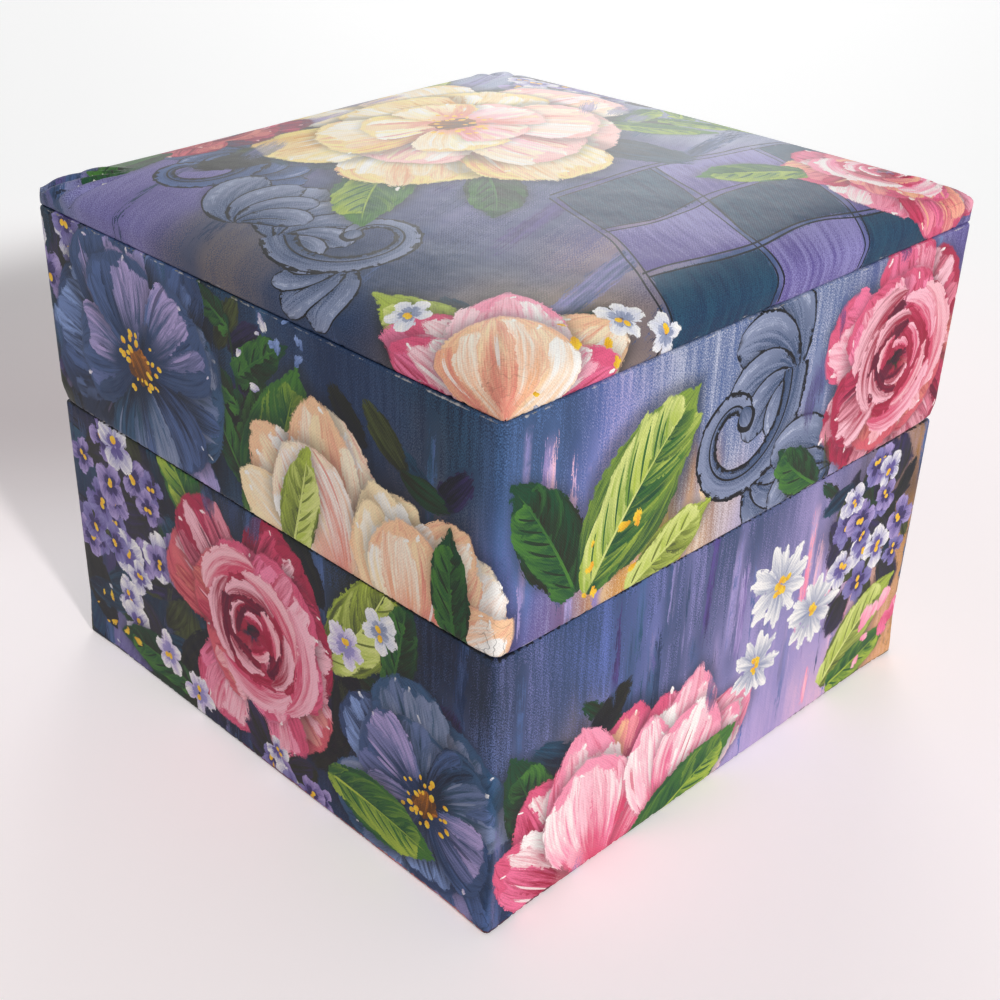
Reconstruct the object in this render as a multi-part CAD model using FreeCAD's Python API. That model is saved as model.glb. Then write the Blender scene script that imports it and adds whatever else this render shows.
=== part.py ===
"""A square keepsake box of folded board covered in printed paper, with a padded lift-off lid.

The base is a folded board tray with a neck, a folded board collar, standing inside it. The lid
is a second tray that slides down over the neck until its rim meets the rim of the base. A
padded panel, board and foam under printed paper, is glued on top of the lid.

Millimetres, +Z up. The origin is the middle of the underside, where the box stands.
"""

import FreeCAD, Part
import math
import os

# Driving dimensions.
LID_SIDE = 100.0  # outside of the lid, across its printed paper
BASE_HEIGHT = 45.7  # underside to the rim of the base
SEAM_GAP = 0.3  # between the two rims with the lid down
LID_HEIGHT = 32.6  # rim of the lid to the top of its tray, without the padded panel
BOARD = 1.5  # board of both trays
NECK_BOARD = 1.2  # board of the neck
PAD_BOARD = 1.2  # board under the padding
PAPER = 0.2  # printed paper, lining paper and the sheet under the base
LID_CLEARANCE = 0.4  # between the lid's inner walls and the neck, all round
NECK_RISE = 15.0  # the part of the neck that stands above the rim of the base
CORNER_RADIUS = 1.3  # outside of the upright corners, across the paper
BASE_FOLD_RADIUS = 0.8  # outside of the folds at the foot of the base
LID_FOLD_RADIUS = 0.5  # outside of the folds at the top of the lid's walls
RIM_RADIUS = 0.5  # outside of the paper's turn over a rim
INNER_CORNER_RADIUS = 0.3  # inside of a folded board corner
GLUE_FLAP = 12.0  # paper folded across a tray's closed face
BASE_TURN_IN = 12.0  # paper turned over the rim of the base and down inside
NECK_LAP = 5.0  # neck lining turned down the outside, below the rim of the base
NECK_JOINT = 0.3  # slit where the two ends of the neck strip meet
LINING_MARGIN = 0.3  # lining sheets are cut this much short of the walls
UNDERSIDE_MARGIN = 2.0  # the sheet under the base is cut this much short of its sides
PAD_INSET = 0.2  # the padded panel stands this far in from the lid's sides
PAD_CORNER_RADIUS = 0.9  # upright corners of the padded panel
PAD_EDGE = 2.4  # upright edge of the padded panel
PAD_SHOULDER_RUN = 10.5  # width of the rounded shoulder of the padding
PAD_SHOULDER_RISE = 4.2  # height that the rounded shoulder gains
PAD_CROWN = 1.2  # further rise to the middle of the padding
PAD_EDGE_RADIUS = 0.5  # where the cover turns under the panel
SHOULDER_STEPS = 5  # sections through the rounded shoulder
CROWN_SHARES = (0.62, 0.3, 0.12)  # sections of the crown, as shares of its half width

# Sizes and heights that follow from them.
LID_HALF = LID_SIDE / 2
LID_INNER_HALF = LID_HALF - PAPER - BOARD - PAPER
NECK_HALF = LID_INNER_HALF - LID_CLEARANCE  # outside of the neck, across its lining
BASE_HALF = NECK_HALF + PAPER + BOARD + PAPER
NECK_BOARD_HALF = NECK_HALF - PAPER
NECK_INNER_HALF = NECK_BOARD_HALF - NECK_BOARD
ROOM_HALF = NECK_INNER_HALF - PAPER  # the room inside the neck's lining
PAD_HALF = LID_HALF - PAD_INSET
BASE_FLOOR = PAPER + PAPER + BOARD  # top of the base tray's floor
NECK_TOP = BASE_HEIGHT + NECK_RISE
LID_RIM = BASE_HEIGHT + SEAM_GAP
LID_TOP = LID_RIM + LID_HEIGHT
LID_CEILING = LID_TOP - PAPER - BOARD
LID_TURN_IN = LID_CEILING - LID_RIM  # the lid's inner walls are papered to the ceiling
PAD_TOP = LID_TOP + PAD_EDGE + PAD_SHOULDER_RISE + PAD_CROWN


def rounded_outline(half, radius, height):
    """A closed square outline with round corners, centred on Z."""
    straight = half - radius
    edges = []
    for quarter in range(4):
        turn = quarter * math.pi / 2

        def place(x, y):
            return FreeCAD.Vector(
                x * math.cos(turn) - y * math.sin(turn),
                x * math.sin(turn) + y * math.cos(turn),
                height,
            )

        bulge = straight + radius * math.sqrt(0.5)
        edges.append(Part.LineSegment(place(half, -straight), place(half, straight)).toShape())
        arc = Part.Arc(place(half, straight), place(bulge, bulge), place(straight, half))
        edges.append(arc.toShape())
    return Part.Wire(edges)


def block(half, radius, low, high, low_round=0.0, high_round=0.0):
    """A square block with round upright corners and, if asked, rounded low and high edges."""
    face = Part.Face(rounded_outline(half, radius, low))
    solid = face.extrude(FreeCAD.Vector(0, 0, high - low))
    for level, rounding in ((low, low_round), (high, high_round)):
        if rounding > 0:
            rim = [edge for edge in solid.Edges if edge.BoundBox.ZMin > level - 1e-6
                   and edge.BoundBox.ZMax < level + 1e-6]
            solid = solid.makeFillet(min(rounding, 0.9 * radius), rim)
    return solid


def turn_over(shape, top):
    """Turn a tray that was built closed face down, so that its closed face lies at top."""
    turned = shape.copy()
    turned.rotate(FreeCAD.Vector(0, 0, 0), FreeCAD.Vector(1, 0, 0), 180)
    turned.translate(FreeCAD.Vector(0, 0, top))
    return turned


def folded_tray(half, height, fold_radius):
    """A board tray, closed face down, inside a paper wrap of the given outer half width."""
    outer = block(half - PAPER, CORNER_RADIUS - PAPER, PAPER, height - PAPER,
                  fold_radius - PAPER, RIM_RADIUS - PAPER)
    inner = block(half - PAPER - BOARD, INNER_CORNER_RADIUS, PAPER + BOARD, height)
    return outer.cut(inner)


def paper_wrap(half, height, fold_radius, turn_in):
    """The printed paper round a tray: across the closed face, up the sides, over the rim."""
    room_half = half - PAPER - BOARD - PAPER
    turn_foot = height - turn_in
    outside = block(half, CORNER_RADIUS, 0, height, fold_radius, RIM_RADIUS)
    around_board = block(half - PAPER, CORNER_RADIUS - PAPER, PAPER, height - PAPER,
                         fold_radius - PAPER, RIM_RADIUS - PAPER)
    turned_in = block(half - PAPER - BOARD, INNER_CORNER_RADIUS, turn_foot, height)
    window = block(half - GLUE_FLAP, CORNER_RADIUS, 0, height)
    room = block(room_half, INNER_CORNER_RADIUS, PAPER, height)
    skin = outside.cut(around_board).fuse(turned_in)
    return skin.cut(room).cut(window).removeSplitter()


def make_base_tray():
    tray = folded_tray(BASE_HALF, BASE_HEIGHT - PAPER, BASE_FOLD_RADIUS)
    tray.translate(FreeCAD.Vector(0, 0, PAPER))
    return tray


def make_base_wrap():
    wrap = paper_wrap(BASE_HALF, BASE_HEIGHT - PAPER, BASE_FOLD_RADIUS, BASE_TURN_IN)
    wrap.translate(FreeCAD.Vector(0, 0, PAPER))
    return wrap


def make_underside_sheet():
    return block(BASE_HALF - UNDERSIDE_MARGIN, CORNER_RADIUS, 0, PAPER)


def make_neck():
    """A scored and folded strip, its two ends meeting in a slit beside one corner."""
    ring = block(NECK_BOARD_HALF, CORNER_RADIUS, BASE_FLOOR, NECK_TOP - PAPER)
    ring = ring.cut(block(NECK_INNER_HALF, INNER_CORNER_RADIUS, BASE_FLOOR, NECK_TOP))
    slit = Part.makeBox(NECK_JOINT, 2 * NECK_BOARD, NECK_TOP)
    slit_x = NECK_INNER_HALF - CORNER_RADIUS - NECK_JOINT
    slit.translate(FreeCAD.Vector(slit_x, NECK_INNER_HALF - NECK_BOARD / 2, 0))
    return ring.cut(slit)


def make_neck_lining():
    """Lining paper up the inside of the neck, over its top edge and a little way down."""
    lap_foot = BASE_HEIGHT - NECK_LAP
    outside = block(NECK_HALF, CORNER_RADIUS + PAPER, lap_foot, NECK_TOP, 0, PAPER)
    inside = block(NECK_INNER_HALF, INNER_CORNER_RADIUS, BASE_FLOOR, lap_foot)
    board = block(NECK_BOARD_HALF, CORNER_RADIUS, BASE_FLOOR, NECK_TOP - PAPER)
    within = block(NECK_INNER_HALF, INNER_CORNER_RADIUS, BASE_FLOOR, NECK_TOP - PAPER)
    room = block(ROOM_HALF, INNER_CORNER_RADIUS, BASE_FLOOR, NECK_TOP)
    return outside.fuse(inside).cut(board.cut(within)).cut(room).removeSplitter()


def make_floor_lining():
    half = ROOM_HALF - LINING_MARGIN
    return block(half, INNER_CORNER_RADIUS, BASE_FLOOR, BASE_FLOOR + PAPER)


def make_lid_tray():
    return turn_over(folded_tray(LID_HALF, LID_HEIGHT, LID_FOLD_RADIUS), LID_TOP)


def make_lid_wrap():
    wrap = paper_wrap(LID_HALF, LID_HEIGHT, LID_FOLD_RADIUS, LID_TURN_IN)
    return turn_over(wrap, LID_TOP)


def make_ceiling_lining():
    half = LID_INNER_HALF - LINING_MARGIN
    return block(half, INNER_CORNER_RADIUS, LID_CEILING - PAPER, LID_CEILING)


def padded_form(inset):
    """The padded panel as one crowned solid, drawn in by inset on every side."""
    half = PAD_HALF - inset
    low = LID_TOP + inset
    edge_top = LID_TOP + PAD_EDGE
    rise = PAD_SHOULDER_RISE - inset
    edge = block(half, PAD_CORNER_RADIUS, low, edge_top, PAD_EDGE_RADIUS - inset)
    outlines = []
    for step in range(SHOULDER_STEPS + 1):
        angle = step / SHOULDER_STEPS * math.pi / 2
        run = PAD_SHOULDER_RUN * (1 - math.cos(angle))
        height = edge_top + rise * math.sin(angle)
        outlines.append(rounded_outline(half - run, PAD_CORNER_RADIUS + run, height))
    crown_half = half - PAD_SHOULDER_RUN
    for share in CROWN_SHARES:
        height = edge_top + rise + PAD_CROWN * (1 - share * share)
        radius = min(PAD_CORNER_RADIUS + PAD_SHOULDER_RUN, 0.9 * share * crown_half)
        outlines.append(rounded_outline(share * crown_half, radius, height))
    crown = Part.makeLoft(outlines, True, True)
    return edge.fuse(crown).removeSplitter()


def make_pad_board():
    low = LID_TOP + PAPER
    edge_radius = PAD_EDGE_RADIUS - PAPER
    return block(PAD_HALF - PAPER, PAD_CORNER_RADIUS, low, low + PAD_BOARD, edge_radius)


def make_pad_foam():
    """The foam: what the cover holds above the panel's board."""
    foam_foot = LID_TOP + PAPER + PAD_BOARD
    return padded_form(PAPER).cut(block(LID_HALF, CORNER_RADIUS, LID_TOP, foam_foot))


def make_top_cover():
    """Printed paper over the padding, its edges turned under the panel's board."""
    window = block(PAD_HALF - GLUE_FLAP, CORNER_RADIUS, LID_TOP, LID_TOP + PAPER)
    return padded_form(0).cut(padded_form(PAPER)).cut(window)


PIECES = {
    "base_tray": make_base_tray,
    "base_wrap": make_base_wrap,
    "underside_sheet": make_underside_sheet,
    "neck": make_neck,
    "neck_lining": make_neck_lining,
    "floor_lining": make_floor_lining,
    "lid_tray": make_lid_tray,
    "lid_wrap": make_lid_wrap,
    "ceiling_lining": make_ceiling_lining,
    "pad_board": make_pad_board,
    "pad_foam": make_pad_foam,
    "top_cover": make_top_cover,
}


def main():
    os.makedirs("parts", exist_ok=True)
    for name, make in PIECES.items():
        shape = make()
        solid = shape.Solids[0] if len(shape.Solids) == 1 else shape
        solid.exportStep(os.path.join("parts", name + ".step"))
        size = solid.BoundBox
        print(f"{name}: {len(shape.Solids)} solid, valid {solid.isValid()}, "
              f"{solid.Volume:.0f} mm3, z {size.ZMin:.2f} to {size.ZMax:.2f}, "
              f"x {size.XMin:.2f} to {size.XMax:.2f}")


main()
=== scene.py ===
"""Looks of the trinket box: folded board under printed paper, with a padded lift-off lid.

The print is a painted garden in colour fields. Every brush mark is a closed outline on the flat
sheet, in millimetres. The sheet is cut along all the outlines at once, each cut piece takes the
paint of the marks that cover it, and the sheet is then folded or stretched round its part of
the box. The material breaks each mark into bristle streaks and dry edges.
"""

import math
import random

import bpy
import numpy as np
from mathutils import Matrix, Vector
from mathutils.geometry import delaunay_2d_cdt


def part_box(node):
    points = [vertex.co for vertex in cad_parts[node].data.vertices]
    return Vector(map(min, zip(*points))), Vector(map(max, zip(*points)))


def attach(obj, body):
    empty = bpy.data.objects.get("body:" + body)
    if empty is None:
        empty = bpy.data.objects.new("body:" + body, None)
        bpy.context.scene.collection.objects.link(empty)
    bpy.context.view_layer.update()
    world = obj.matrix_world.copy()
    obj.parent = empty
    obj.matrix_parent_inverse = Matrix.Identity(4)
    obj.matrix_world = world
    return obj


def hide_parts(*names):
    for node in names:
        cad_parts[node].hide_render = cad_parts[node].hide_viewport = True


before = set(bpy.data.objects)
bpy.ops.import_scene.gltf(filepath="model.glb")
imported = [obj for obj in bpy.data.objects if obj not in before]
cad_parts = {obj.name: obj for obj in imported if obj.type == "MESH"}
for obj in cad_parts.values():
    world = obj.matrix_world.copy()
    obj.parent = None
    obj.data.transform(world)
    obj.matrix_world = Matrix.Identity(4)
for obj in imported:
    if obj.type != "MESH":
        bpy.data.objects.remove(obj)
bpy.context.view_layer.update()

MM = 0.001

# ---------------------------------------------------------------- sizes, in millimetres


def corners(node):
    """Lowest and highest corner of a CAD node."""
    low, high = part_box(node)
    return np.array(low) / MM, np.array(high) / MM


BASE_LOW, BASE_HIGH = corners("base_wrap")
LID_LOW, LID_HIGH = corners("lid_wrap")
COVER_LOW, COVER_HIGH = corners("top_cover")
CEILING = corners("ceiling_lining")[1][2]
BOARD_HIGH = corners("pad_board")[1][2]

BASE_HALF = BASE_HIGH[0]
LID_HALF = LID_HIGH[0]
COVER_HALF = COVER_HIGH[0]
BASE_WALL = BASE_HIGH[2] - BASE_LOW[2]

PAPER = 0.2
RIM = 1.9  # board with paper on both sides
CORNER = 1.3  # upright corners of the lid, outside
BASE_CORNER = 0.8
INNER_CORNER = 0.3
FLAP = 12.0  # paper glued down across a closed face
BASE_TURN_IN = 12.0
LID_FOLDS, BASE_FOLDS = (0.4, 0.5, 0.5), (0.35, 0.5, 0.4)  # their radii
ARC_STEPS = 3  # round each fold
PAD_EDGE = 2.4
PAD_EDGE_RADIUS = 0.5
PAD_CORNER = 0.9
SHOULDER_RUN = 10.5
PAD_CROWN = 1.2
SHOULDER_RISE = COVER_HIGH[2] - COVER_LOW[2] - PAD_EDGE - PAD_CROWN
FOAM_GAP = 0.25  # foam under the cover

SETTLE_POINTS = 73  # along each side of the coarse sheet that settles as cloth
SETTLE_SCALE = 100
SETTLE_STEPS = 24
SETTLE_CLOTH = {
    "quality": 6, "mass": 0.4, "air_damping": 6, "tension_stiffness": 80,
    "compression_stiffness": 80, "shear_stiffness": 40, "bending_stiffness": 0.5,
    "vertex_group_mass": "glued", "use_pressure": True, "uniform_pressure_force": 0.06,
}
SETTLE_CLEARANCE = 0.02  # between the scaled sheet and its padding
SETTLE_HELD = 0.4  # glued margin
SETTLE_EASE = 2.0
SETTLE_REACH = 0.8  # a point never moves further
SETTLE_GAP = 0.5  # from the sheet down to the padding it can't pass

BOX_CORNERS = {"left": (-1, 1), "front": (-1, -1), "right": (1, -1), "back": (1, 1)}

# The lid's lower corners: how far each is knocked in, and its rim bowed up beside it.
CRUSHED = {"left": (0.7, 0.0), "front": (0.45, 0.15), "right": (0.5, 0.35), "back": (0.5, 0.2)}
CRUSH_START, CRUSH_END, CRUSH_TALL = 67.2, 70.4, 3.2  # out along the diagonal, and up
BOW_BACK, BOW_LONG, BOW_TALL = 9, 12, 9  # in from the knock's start, its length, and up
SPLAY, SPLAY_BACK, SPLAY_LONG, SPLAY_TALL = 0.5, 4, 7, 9  # the same for the base's foot

# How much a wrap is rubbed along its low and high fold, and at its upright corners. The lid's are set
# high, so that its fold lines are also a painted highlight.
BASE_RUBBED, LID_WEAR_AND_HIGHLIGHT, CORNER_RUBBED = (0.85, 0.5), (1.25, 1.28), 0.25
RUBBED_UP, RUBBED_DOWN = 0.25, 0.15  # from each fold to its rubbed line
RUBBED_WIDE, CORNER_RUBBED_WIDE = 0.22, 0.8

# Where a wrap is crumpled: so far from its corners, and up from its foot or down from its top.
CREASE_SIDE, CREASE_FOOT, CREASE_TOP = 4, 5, 3
CREASE_FOOT_UP, CREASE_TOP_DOWN, CREASE_TOP_SHARE = 1.5, 1, 0.6

# How much the cover is rubbed at its lower fold and its corners, and over what width.
COVER_RUBBED, COVER_RUBBED_WIDE = 0.9, 0.3
TIP_RUBBED, TIP_RUBBED_WIDE = 0.5, 5.0

# Pleats at the cover's corners: angle across the corner, depth, and width in degrees.
PLEATS = {
    "left": ((12, 0.45, 4), (27, 0.6, 4), (44, 0.7, 4.5), (64, 0.55, 5)),
    "front": ((34, 0.2, 6), (60, 0.15, 6)),
    "right": ((20, 0.5, 5), (38, 0.3, 4), (68, 0.3, 6)),
    "back": ((28, 0.35, 6), (60, 0.35, 6)),
}
PLEAT_ROOT = 1.5  # in from the shoulder's start, both ways
PLEAT_START, PLEAT_GROWTH, PLEAT_FADE = 1.5, 7, 2.2
PLEAT_DEPTH, PLEAT_PULL = 0.9, 0.5  # down and inwards
RIDGE_ASIDE, RIDGE_SHARE = 1.7, 0.55  # beside a pleat, in its widths and its depth

# How full each corner is, from 0, sunk, to 1, mitred, how far its tip sticks up, and how
# crumpled it is.
FULLNESS = {"left": 0.3, "front": 0.6, "right": 0.85, "back": 0.4}
EARS = {"left": 0.65, "front": 0.0, "right": 0.15, "back": 0.4}
CRUMPLED = {"left": 1.0, "front": 0.35, "right": 0.7, "back": 0.6}
EAR_WIDE, EAR_FADE = 1.3, 1.6
DIP_IN, DIP_WIDE, DIP_SHARE = 3.4, 1.5, 0.5  # inside each ear
CRUMPLED_IN, CRUMPLED_WIDE = 2, 8

# Where the padding is thinner: which way, over what length, from where, and by what share.
THIN_PADDING = (((-0.62, 0.3), 44, 0.12, 0.26), ((0.2, 0.8), 60, 0.0, 0.2))

GRID = 1.2  # spacing of the fine points of a sheet
HIDDEN_GRID = 3.0
CORNER_GRID, GATHERED = 0.45, 2  # at the cover's corners, and how far in those points start
FINE_OVER, HIDDEN_FROM = 1.6, 2.0  # past a wrap's folds
EDGE_ROWS, UNDER_ROWS = np.array([0.4, 0.95, 1.5]), np.array([3.0, 7.0])  # of the cover
SHOULDER_POINTS = 400
FOAM_POINTS = 90
BOARD_POINTS, BOARD_CLOSE_POINTS = 53, 7  # along a side, and beside each corner
THREAD = 0.46  # spacing of the canvas threads in the print
MARK_STEP = 0.8  # spacing along the outline of a mark

# ---------------------------------------------------------------- colours


def tint(code):
    """Linear colour of a hex code."""
    share = np.array([int(code[i:i + 2], 16) for i in (0, 2, 4)]) / 255
    return np.where(share <= 0.04045, share / 12.92, ((share + 0.055) / 1.055) ** 2.4)


INK, SHADE, OLIVE_BLACK = tint("12141a"), tint("181c24"), tint("26291f")
DEEP_NAVY, NAVY, TEAL = tint("151f33"), tint("1b2f50"), tint("264f68")
SLATE, STEEL, AZURE = tint("384c6e"), tint("52699a"), tint("5f83bb")
PERIWINKLE, SKY, MIST = tint("6478be"), tint("8ea6da"), tint("8791ae")
DEEP_VIOLET, VIOLET = tint("372e5c"), tint("5c4f90")
LAVENDER, LILAC = tint("918bc0"), tint("b8a6d8")
DEEP_GREEN, LEAF, OLIVE = tint("1c4a31"), tint("4a7d33"), tint("505a30")
LIME, PALE_LIME = tint("b0c24a"), tint("dbe08e")
WINE, CRIMSON, ROSE = tint("5c1230"), tint("9c1a3a"), tint("d4456a")
SALMON, PINK, BLUSH = tint("e2897a"), tint("f47fa6"), tint("fcc6d2")
UMBER, TAN, SAND = tint("5d3a20"), tint("8f7a66"), tint("c9ab8e")
OCHRE, ORANGE, YELLOW = tint("d9981f"), tint("ec8f28"), tint("f8d33a")
PEACH, BUTTER, CREAM = tint("f4bb92"), tint("f7e489"), tint("fbe6bb")
PEARL, WHITE = tint("cdd0e2"), tint("faf7f2")
PALE_SLATE, DIM_PALE_SLATE = tint("c3cadf"), tint("a3adca")
# Pale paper fibre for rubbed folds, also a painted highlight along the lid's folds; then painted
# shade for the dark in fine creases.
FIBRE_AND_HIGHLIGHT, CREASE_SHADE = tint("d9d2cc"), tint("14131a")

# ---------------------------------------------------------------- lines and outlines


def smooth(share):
    share = np.clip(share, 0, 1)
    return share * share * (3 - 2 * share)


def bell(gap, wide):
    """1 where there is no gap, and next to nothing at twice the width."""
    return np.exp(-(gap / wide) ** 2)


def drift(points, pitch, seed):
    """Smooth noise from -1 to 1 over the plane, with bumps about pitch apart.

    Large odd numbers scatter the bits of each knot's place and seed.
    """
    cell = np.asarray(points, float) / pitch
    low = np.floor(cell).astype(np.int64)
    part = smooth(cell - low)

    def knot(right, up):
        mixed = (low[:, 0] + right) * 374761393 + (low[:, 1] + up) * 668265263 + seed * 974711
        mixed = (mixed ^ (mixed >> 13)) * 1274126177 & 0x7FFFFFFF
        return ((mixed ^ (mixed >> 15)) & 0xFFFF) / 32767.5 - 1

    bottom = knot(0, 0) * (1 - part[:, 0]) + knot(1, 0) * part[:, 0]
    top = knot(0, 1) * (1 - part[:, 0]) + knot(1, 1) * part[:, 0]
    return bottom * (1 - part[:, 1]) + top * part[:, 1]


def turned(heading):
    return np.array([math.cos(heading), math.sin(heading)])


def directions(angles):
    return np.stack([np.cos(angles), np.sin(angles)], 1)


def lengths(vectors):
    return np.hypot(vectors[:, 0], vectors[:, 1])


def distances(line):
    """How far along a line each of its points is."""
    return np.concatenate([[0], np.cumsum(lengths(np.diff(line, axis=0)))])


def normals(line):
    way = np.gradient(line, axis=0)
    way /= lengths(way).clip(1e-9)[:, None]
    return np.stack([-way[:, 1], way[:, 0]], 1)


def resampled(line, knots, at):
    """Points of a line at new places among its knots."""
    return np.stack([np.interp(at, knots, line[:, i]) for i in (0, 1)], 1)


def grid_points(across, up):
    x, y = np.meshgrid(across, up)
    return np.stack([x.ravel(), y.ravel()], 1)


def bent_line(root, heading, length, bend=0.0, count=14):
    """Points from root along heading, turning by bend over the whole length."""
    share = (np.arange(count) + 0.5) / count
    steps = directions(heading + bend * share) * length / count
    return np.concatenate([[root], root + np.cumsum(steps, 0)])


def spindle(width, count, peak=1.0, blunt=0.7):
    """Half widths from root to tip. peak over 1 puts the widest place nearer the tip."""
    share = np.linspace(0, 1, count)
    return width / 2 * np.sin(math.pi * share ** peak).clip(0) ** blunt


def inside(outline, points):
    """Which points lie inside a closed outline, by counting the edges to their right."""
    order = np.argsort(points[:, 1])
    x, y = points[order].T
    odd = np.zeros(len(points), bool)
    ends = np.roll(outline, -1, 0)
    firsts = np.searchsorted(y, np.minimum(outline[:, 1], ends[:, 1]))
    lasts = np.searchsorted(y, np.maximum(outline[:, 1], ends[:, 1]))
    for start, end, first, last in zip(outline, ends, firsts, lasts):
        if first < last:
            lean = (end[0] - start[0]) / (end[1] - start[1])
            level = slice(first, last)
            odd[level] ^= x[level] < start[0] + (y[level] - start[1]) * lean
    found = np.empty(len(points), bool)
    found[order] = odd
    return found


class Finder:
    """Finds points near an outline quickly, from their order across the sheet."""

    def __init__(self, points):
        self.points, self.order = points, np.argsort(points[:, 0])
        self.across = points[self.order, 0]

    def near(self, outline):
        """Which points lie in the box round an outline."""
        low, high = outline.min(0), outline.max(0)
        first, last = np.searchsorted(self.across, (low[0], high[0]))
        found = self.order[first:last]
        up = self.points[found, 1]
        return found[(up > low[1]) & (up < high[1])]


def nearest_gap(line, points):
    """About how far each point is from the nearest point of a line."""
    square = (points ** 2).sum(1)[:, None] + (line ** 2).sum(1) - 2 * points @ line.T
    return np.sqrt(square.min(1).clip(0))


def along_line(line, points):
    """Where points lie beside a line: distance along it and signed distance off it."""
    start, way = line[:-1], np.diff(line, axis=0)
    length = lengths(way).clip(1e-9)
    way = way / length[:, None]
    before = np.concatenate([[0], np.cumsum(length)[:-1]])
    off = points[:, None] - start
    run = (off * way).sum(2)
    held = np.clip(run, 0, length)
    best = ((off - held[..., None] * way) ** 2).sum(2).argmin(1)
    rows = np.arange(len(points))
    side = way[best, 0] * off[rows, best, 1] - way[best, 1] * off[rows, best, 0]
    return before[best] + held[rows, best], side


# ---------------------------------------------------------------- marks, ground and sheet

# Columns of the table of paint at each corner of a cut sheet.
LOW, HIGH, UNDER, STROKE = slice(0, 3), slice(3, 6), slice(6, 9), slice(9, 12)
TONE, STREAK, LAY, GRIT = 12, 13, 14, 15


class Mark:
    """One brush mark: a spine, half widths along it, and how the paint lies.

    low and high are the two colours that its bristle streaks run between. tone gives the share
    of high at the root and at the tip, and side adds to it across the mark. ragged, start and
    fade are the lengths over which the paint breaks up at the edge, the root and the tip. grit
    is how far the canvas grain speckles it, and ruffle how far its outline frays. A soft mark
    is a glaze that only tints what lies under it.
    """

    def __init__(self, spine, widths, low, high, tone=(0.2, 0.8), side=0.0, streak=0.6,
                 ragged=0.5, start=0.0, fade=0.0, cover=1.0, soft=False, ruffle=0.0, grit=0.2,
                 seed=0, outline=None):
        self.spine, self.widths = np.asarray(spine, float), np.asarray(widths, float)
        self.low, self.high, self.tone, self.side = low, high, tone, side
        self.streak, self.ragged, self.start, self.fade = streak, ragged, start, fade
        self.cover, self.soft, self.grit, self.seed = cover, soft, grit, seed
        self.outline = self.edge(ruffle) if outline is None else outline

    def edge(self, ruffle):
        """The outline round the spine, with its points evenly spaced."""
        across = normals(self.spine) * self.widths[:, None]
        loop = np.concatenate([self.spine - across, (self.spine + across)[::-1]])
        loop = loop[lengths(loop - np.roll(loop, 1, 0)) > 1e-4]
        closed = np.concatenate([loop, loop[:1]])
        run = distances(closed)
        count = max(8, int(run[-1] / MARK_STEP))
        loop = resampled(closed, run, np.arange(count) * run[-1] / count)
        if ruffle:
            out = np.roll(loop, -1, 0) - np.roll(loop, 1, 0)
            out = np.stack([out[:, 1], -out[:, 0]], 1)
            out /= lengths(out).clip(1e-9)[:, None]
            far = smooth(lengths(loop - self.spine[0]) / self.length() * 1.4 - 0.4)
            wave = drift(loop, 2.6, self.seed) + 0.6 * drift(loop, 1.1, self.seed + 5)
            loop = loop + out * (ruffle * far * wave)[:, None]
        return loop

    def length(self):
        return lengths(np.diff(self.spine, axis=0)).sum()

    def paint(self, points):
        """Stroke coordinates, tone and lay (0 bare to 1 covered) at points inside the mark."""
        run, side = along_line(self.spine, points)
        reach = self.length()
        knots = np.linspace(0, reach, len(self.widths))
        half = np.interp(run, knots, self.widths).clip(0.15)
        share = np.clip(side / half, -1, 1)
        tone = self.tone[0] + (self.tone[1] - self.tone[0]) * run / reach + self.side * share
        lay = np.ones(len(points))
        if self.ragged:
            lay = np.minimum(lay, nearest_gap(self.outline, points) / self.ragged)
        if self.fade:
            lay = np.minimum(lay, (reach - run) / self.fade)
        if self.start:
            lay = np.minimum(lay, run / self.start)
        strokes = np.stack([run, share * self.widths.max(), np.full(len(run), self.seed % 97)], 1)
        return strokes, np.clip(tone, 0, 1), np.clip(lay, 0, 1)


class Ground:
    """Soft fields of colour under the marks, brushed along one heading."""

    EVERYWHERE, FAINT = 1e6, 0.16

    def __init__(self, low, high, heading=math.pi / 2, streak=1.0):
        self.fields = [(0.0, 0.0, self.EVERYWHERE, self.EVERYWHERE, low, high, self.FAINT)]
        self.heading, self.streak = heading, streak

    def paint(self, points):
        """Both colours, stroke coordinates and tone at points of the ground."""
        way = turned(self.heading)
        run = points @ way
        side = points @ np.array([way[1], -way[0]])
        streaked = np.stack([side * 2.2, run * 0.25], 1)
        pushed = 4.5 * self.streak * drift(streaked, 4.0, 12) + 3.0 * drift(points, 11.0, 15)
        places = points + pushed[:, None] * way + 2.0 * drift(points, 7.0, 11)[:, None]
        low, high, total = 0.0, 0.0, 0.0
        for x, y, wide, tall, field_low, field_high, weight in self.fields:
            gap = ((places[:, 0] - x) / wide) ** 2 + ((places[:, 1] - y) / tall) ** 2
            share = (weight * np.exp(-gap))[:, None] ** 1.6
            low = low + share * field_low
            high = high + share * field_high
            total = total + share
        tone = 0.42 + 0.3 * self.streak * drift(streaked, 6.0, 13) + 0.25 * drift(points, 14.0, 14)
        strokes = np.stack([run, side, np.zeros(len(run))], 1)
        return low / total, high / total, strokes, np.clip(tone, 0, 1)


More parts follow.
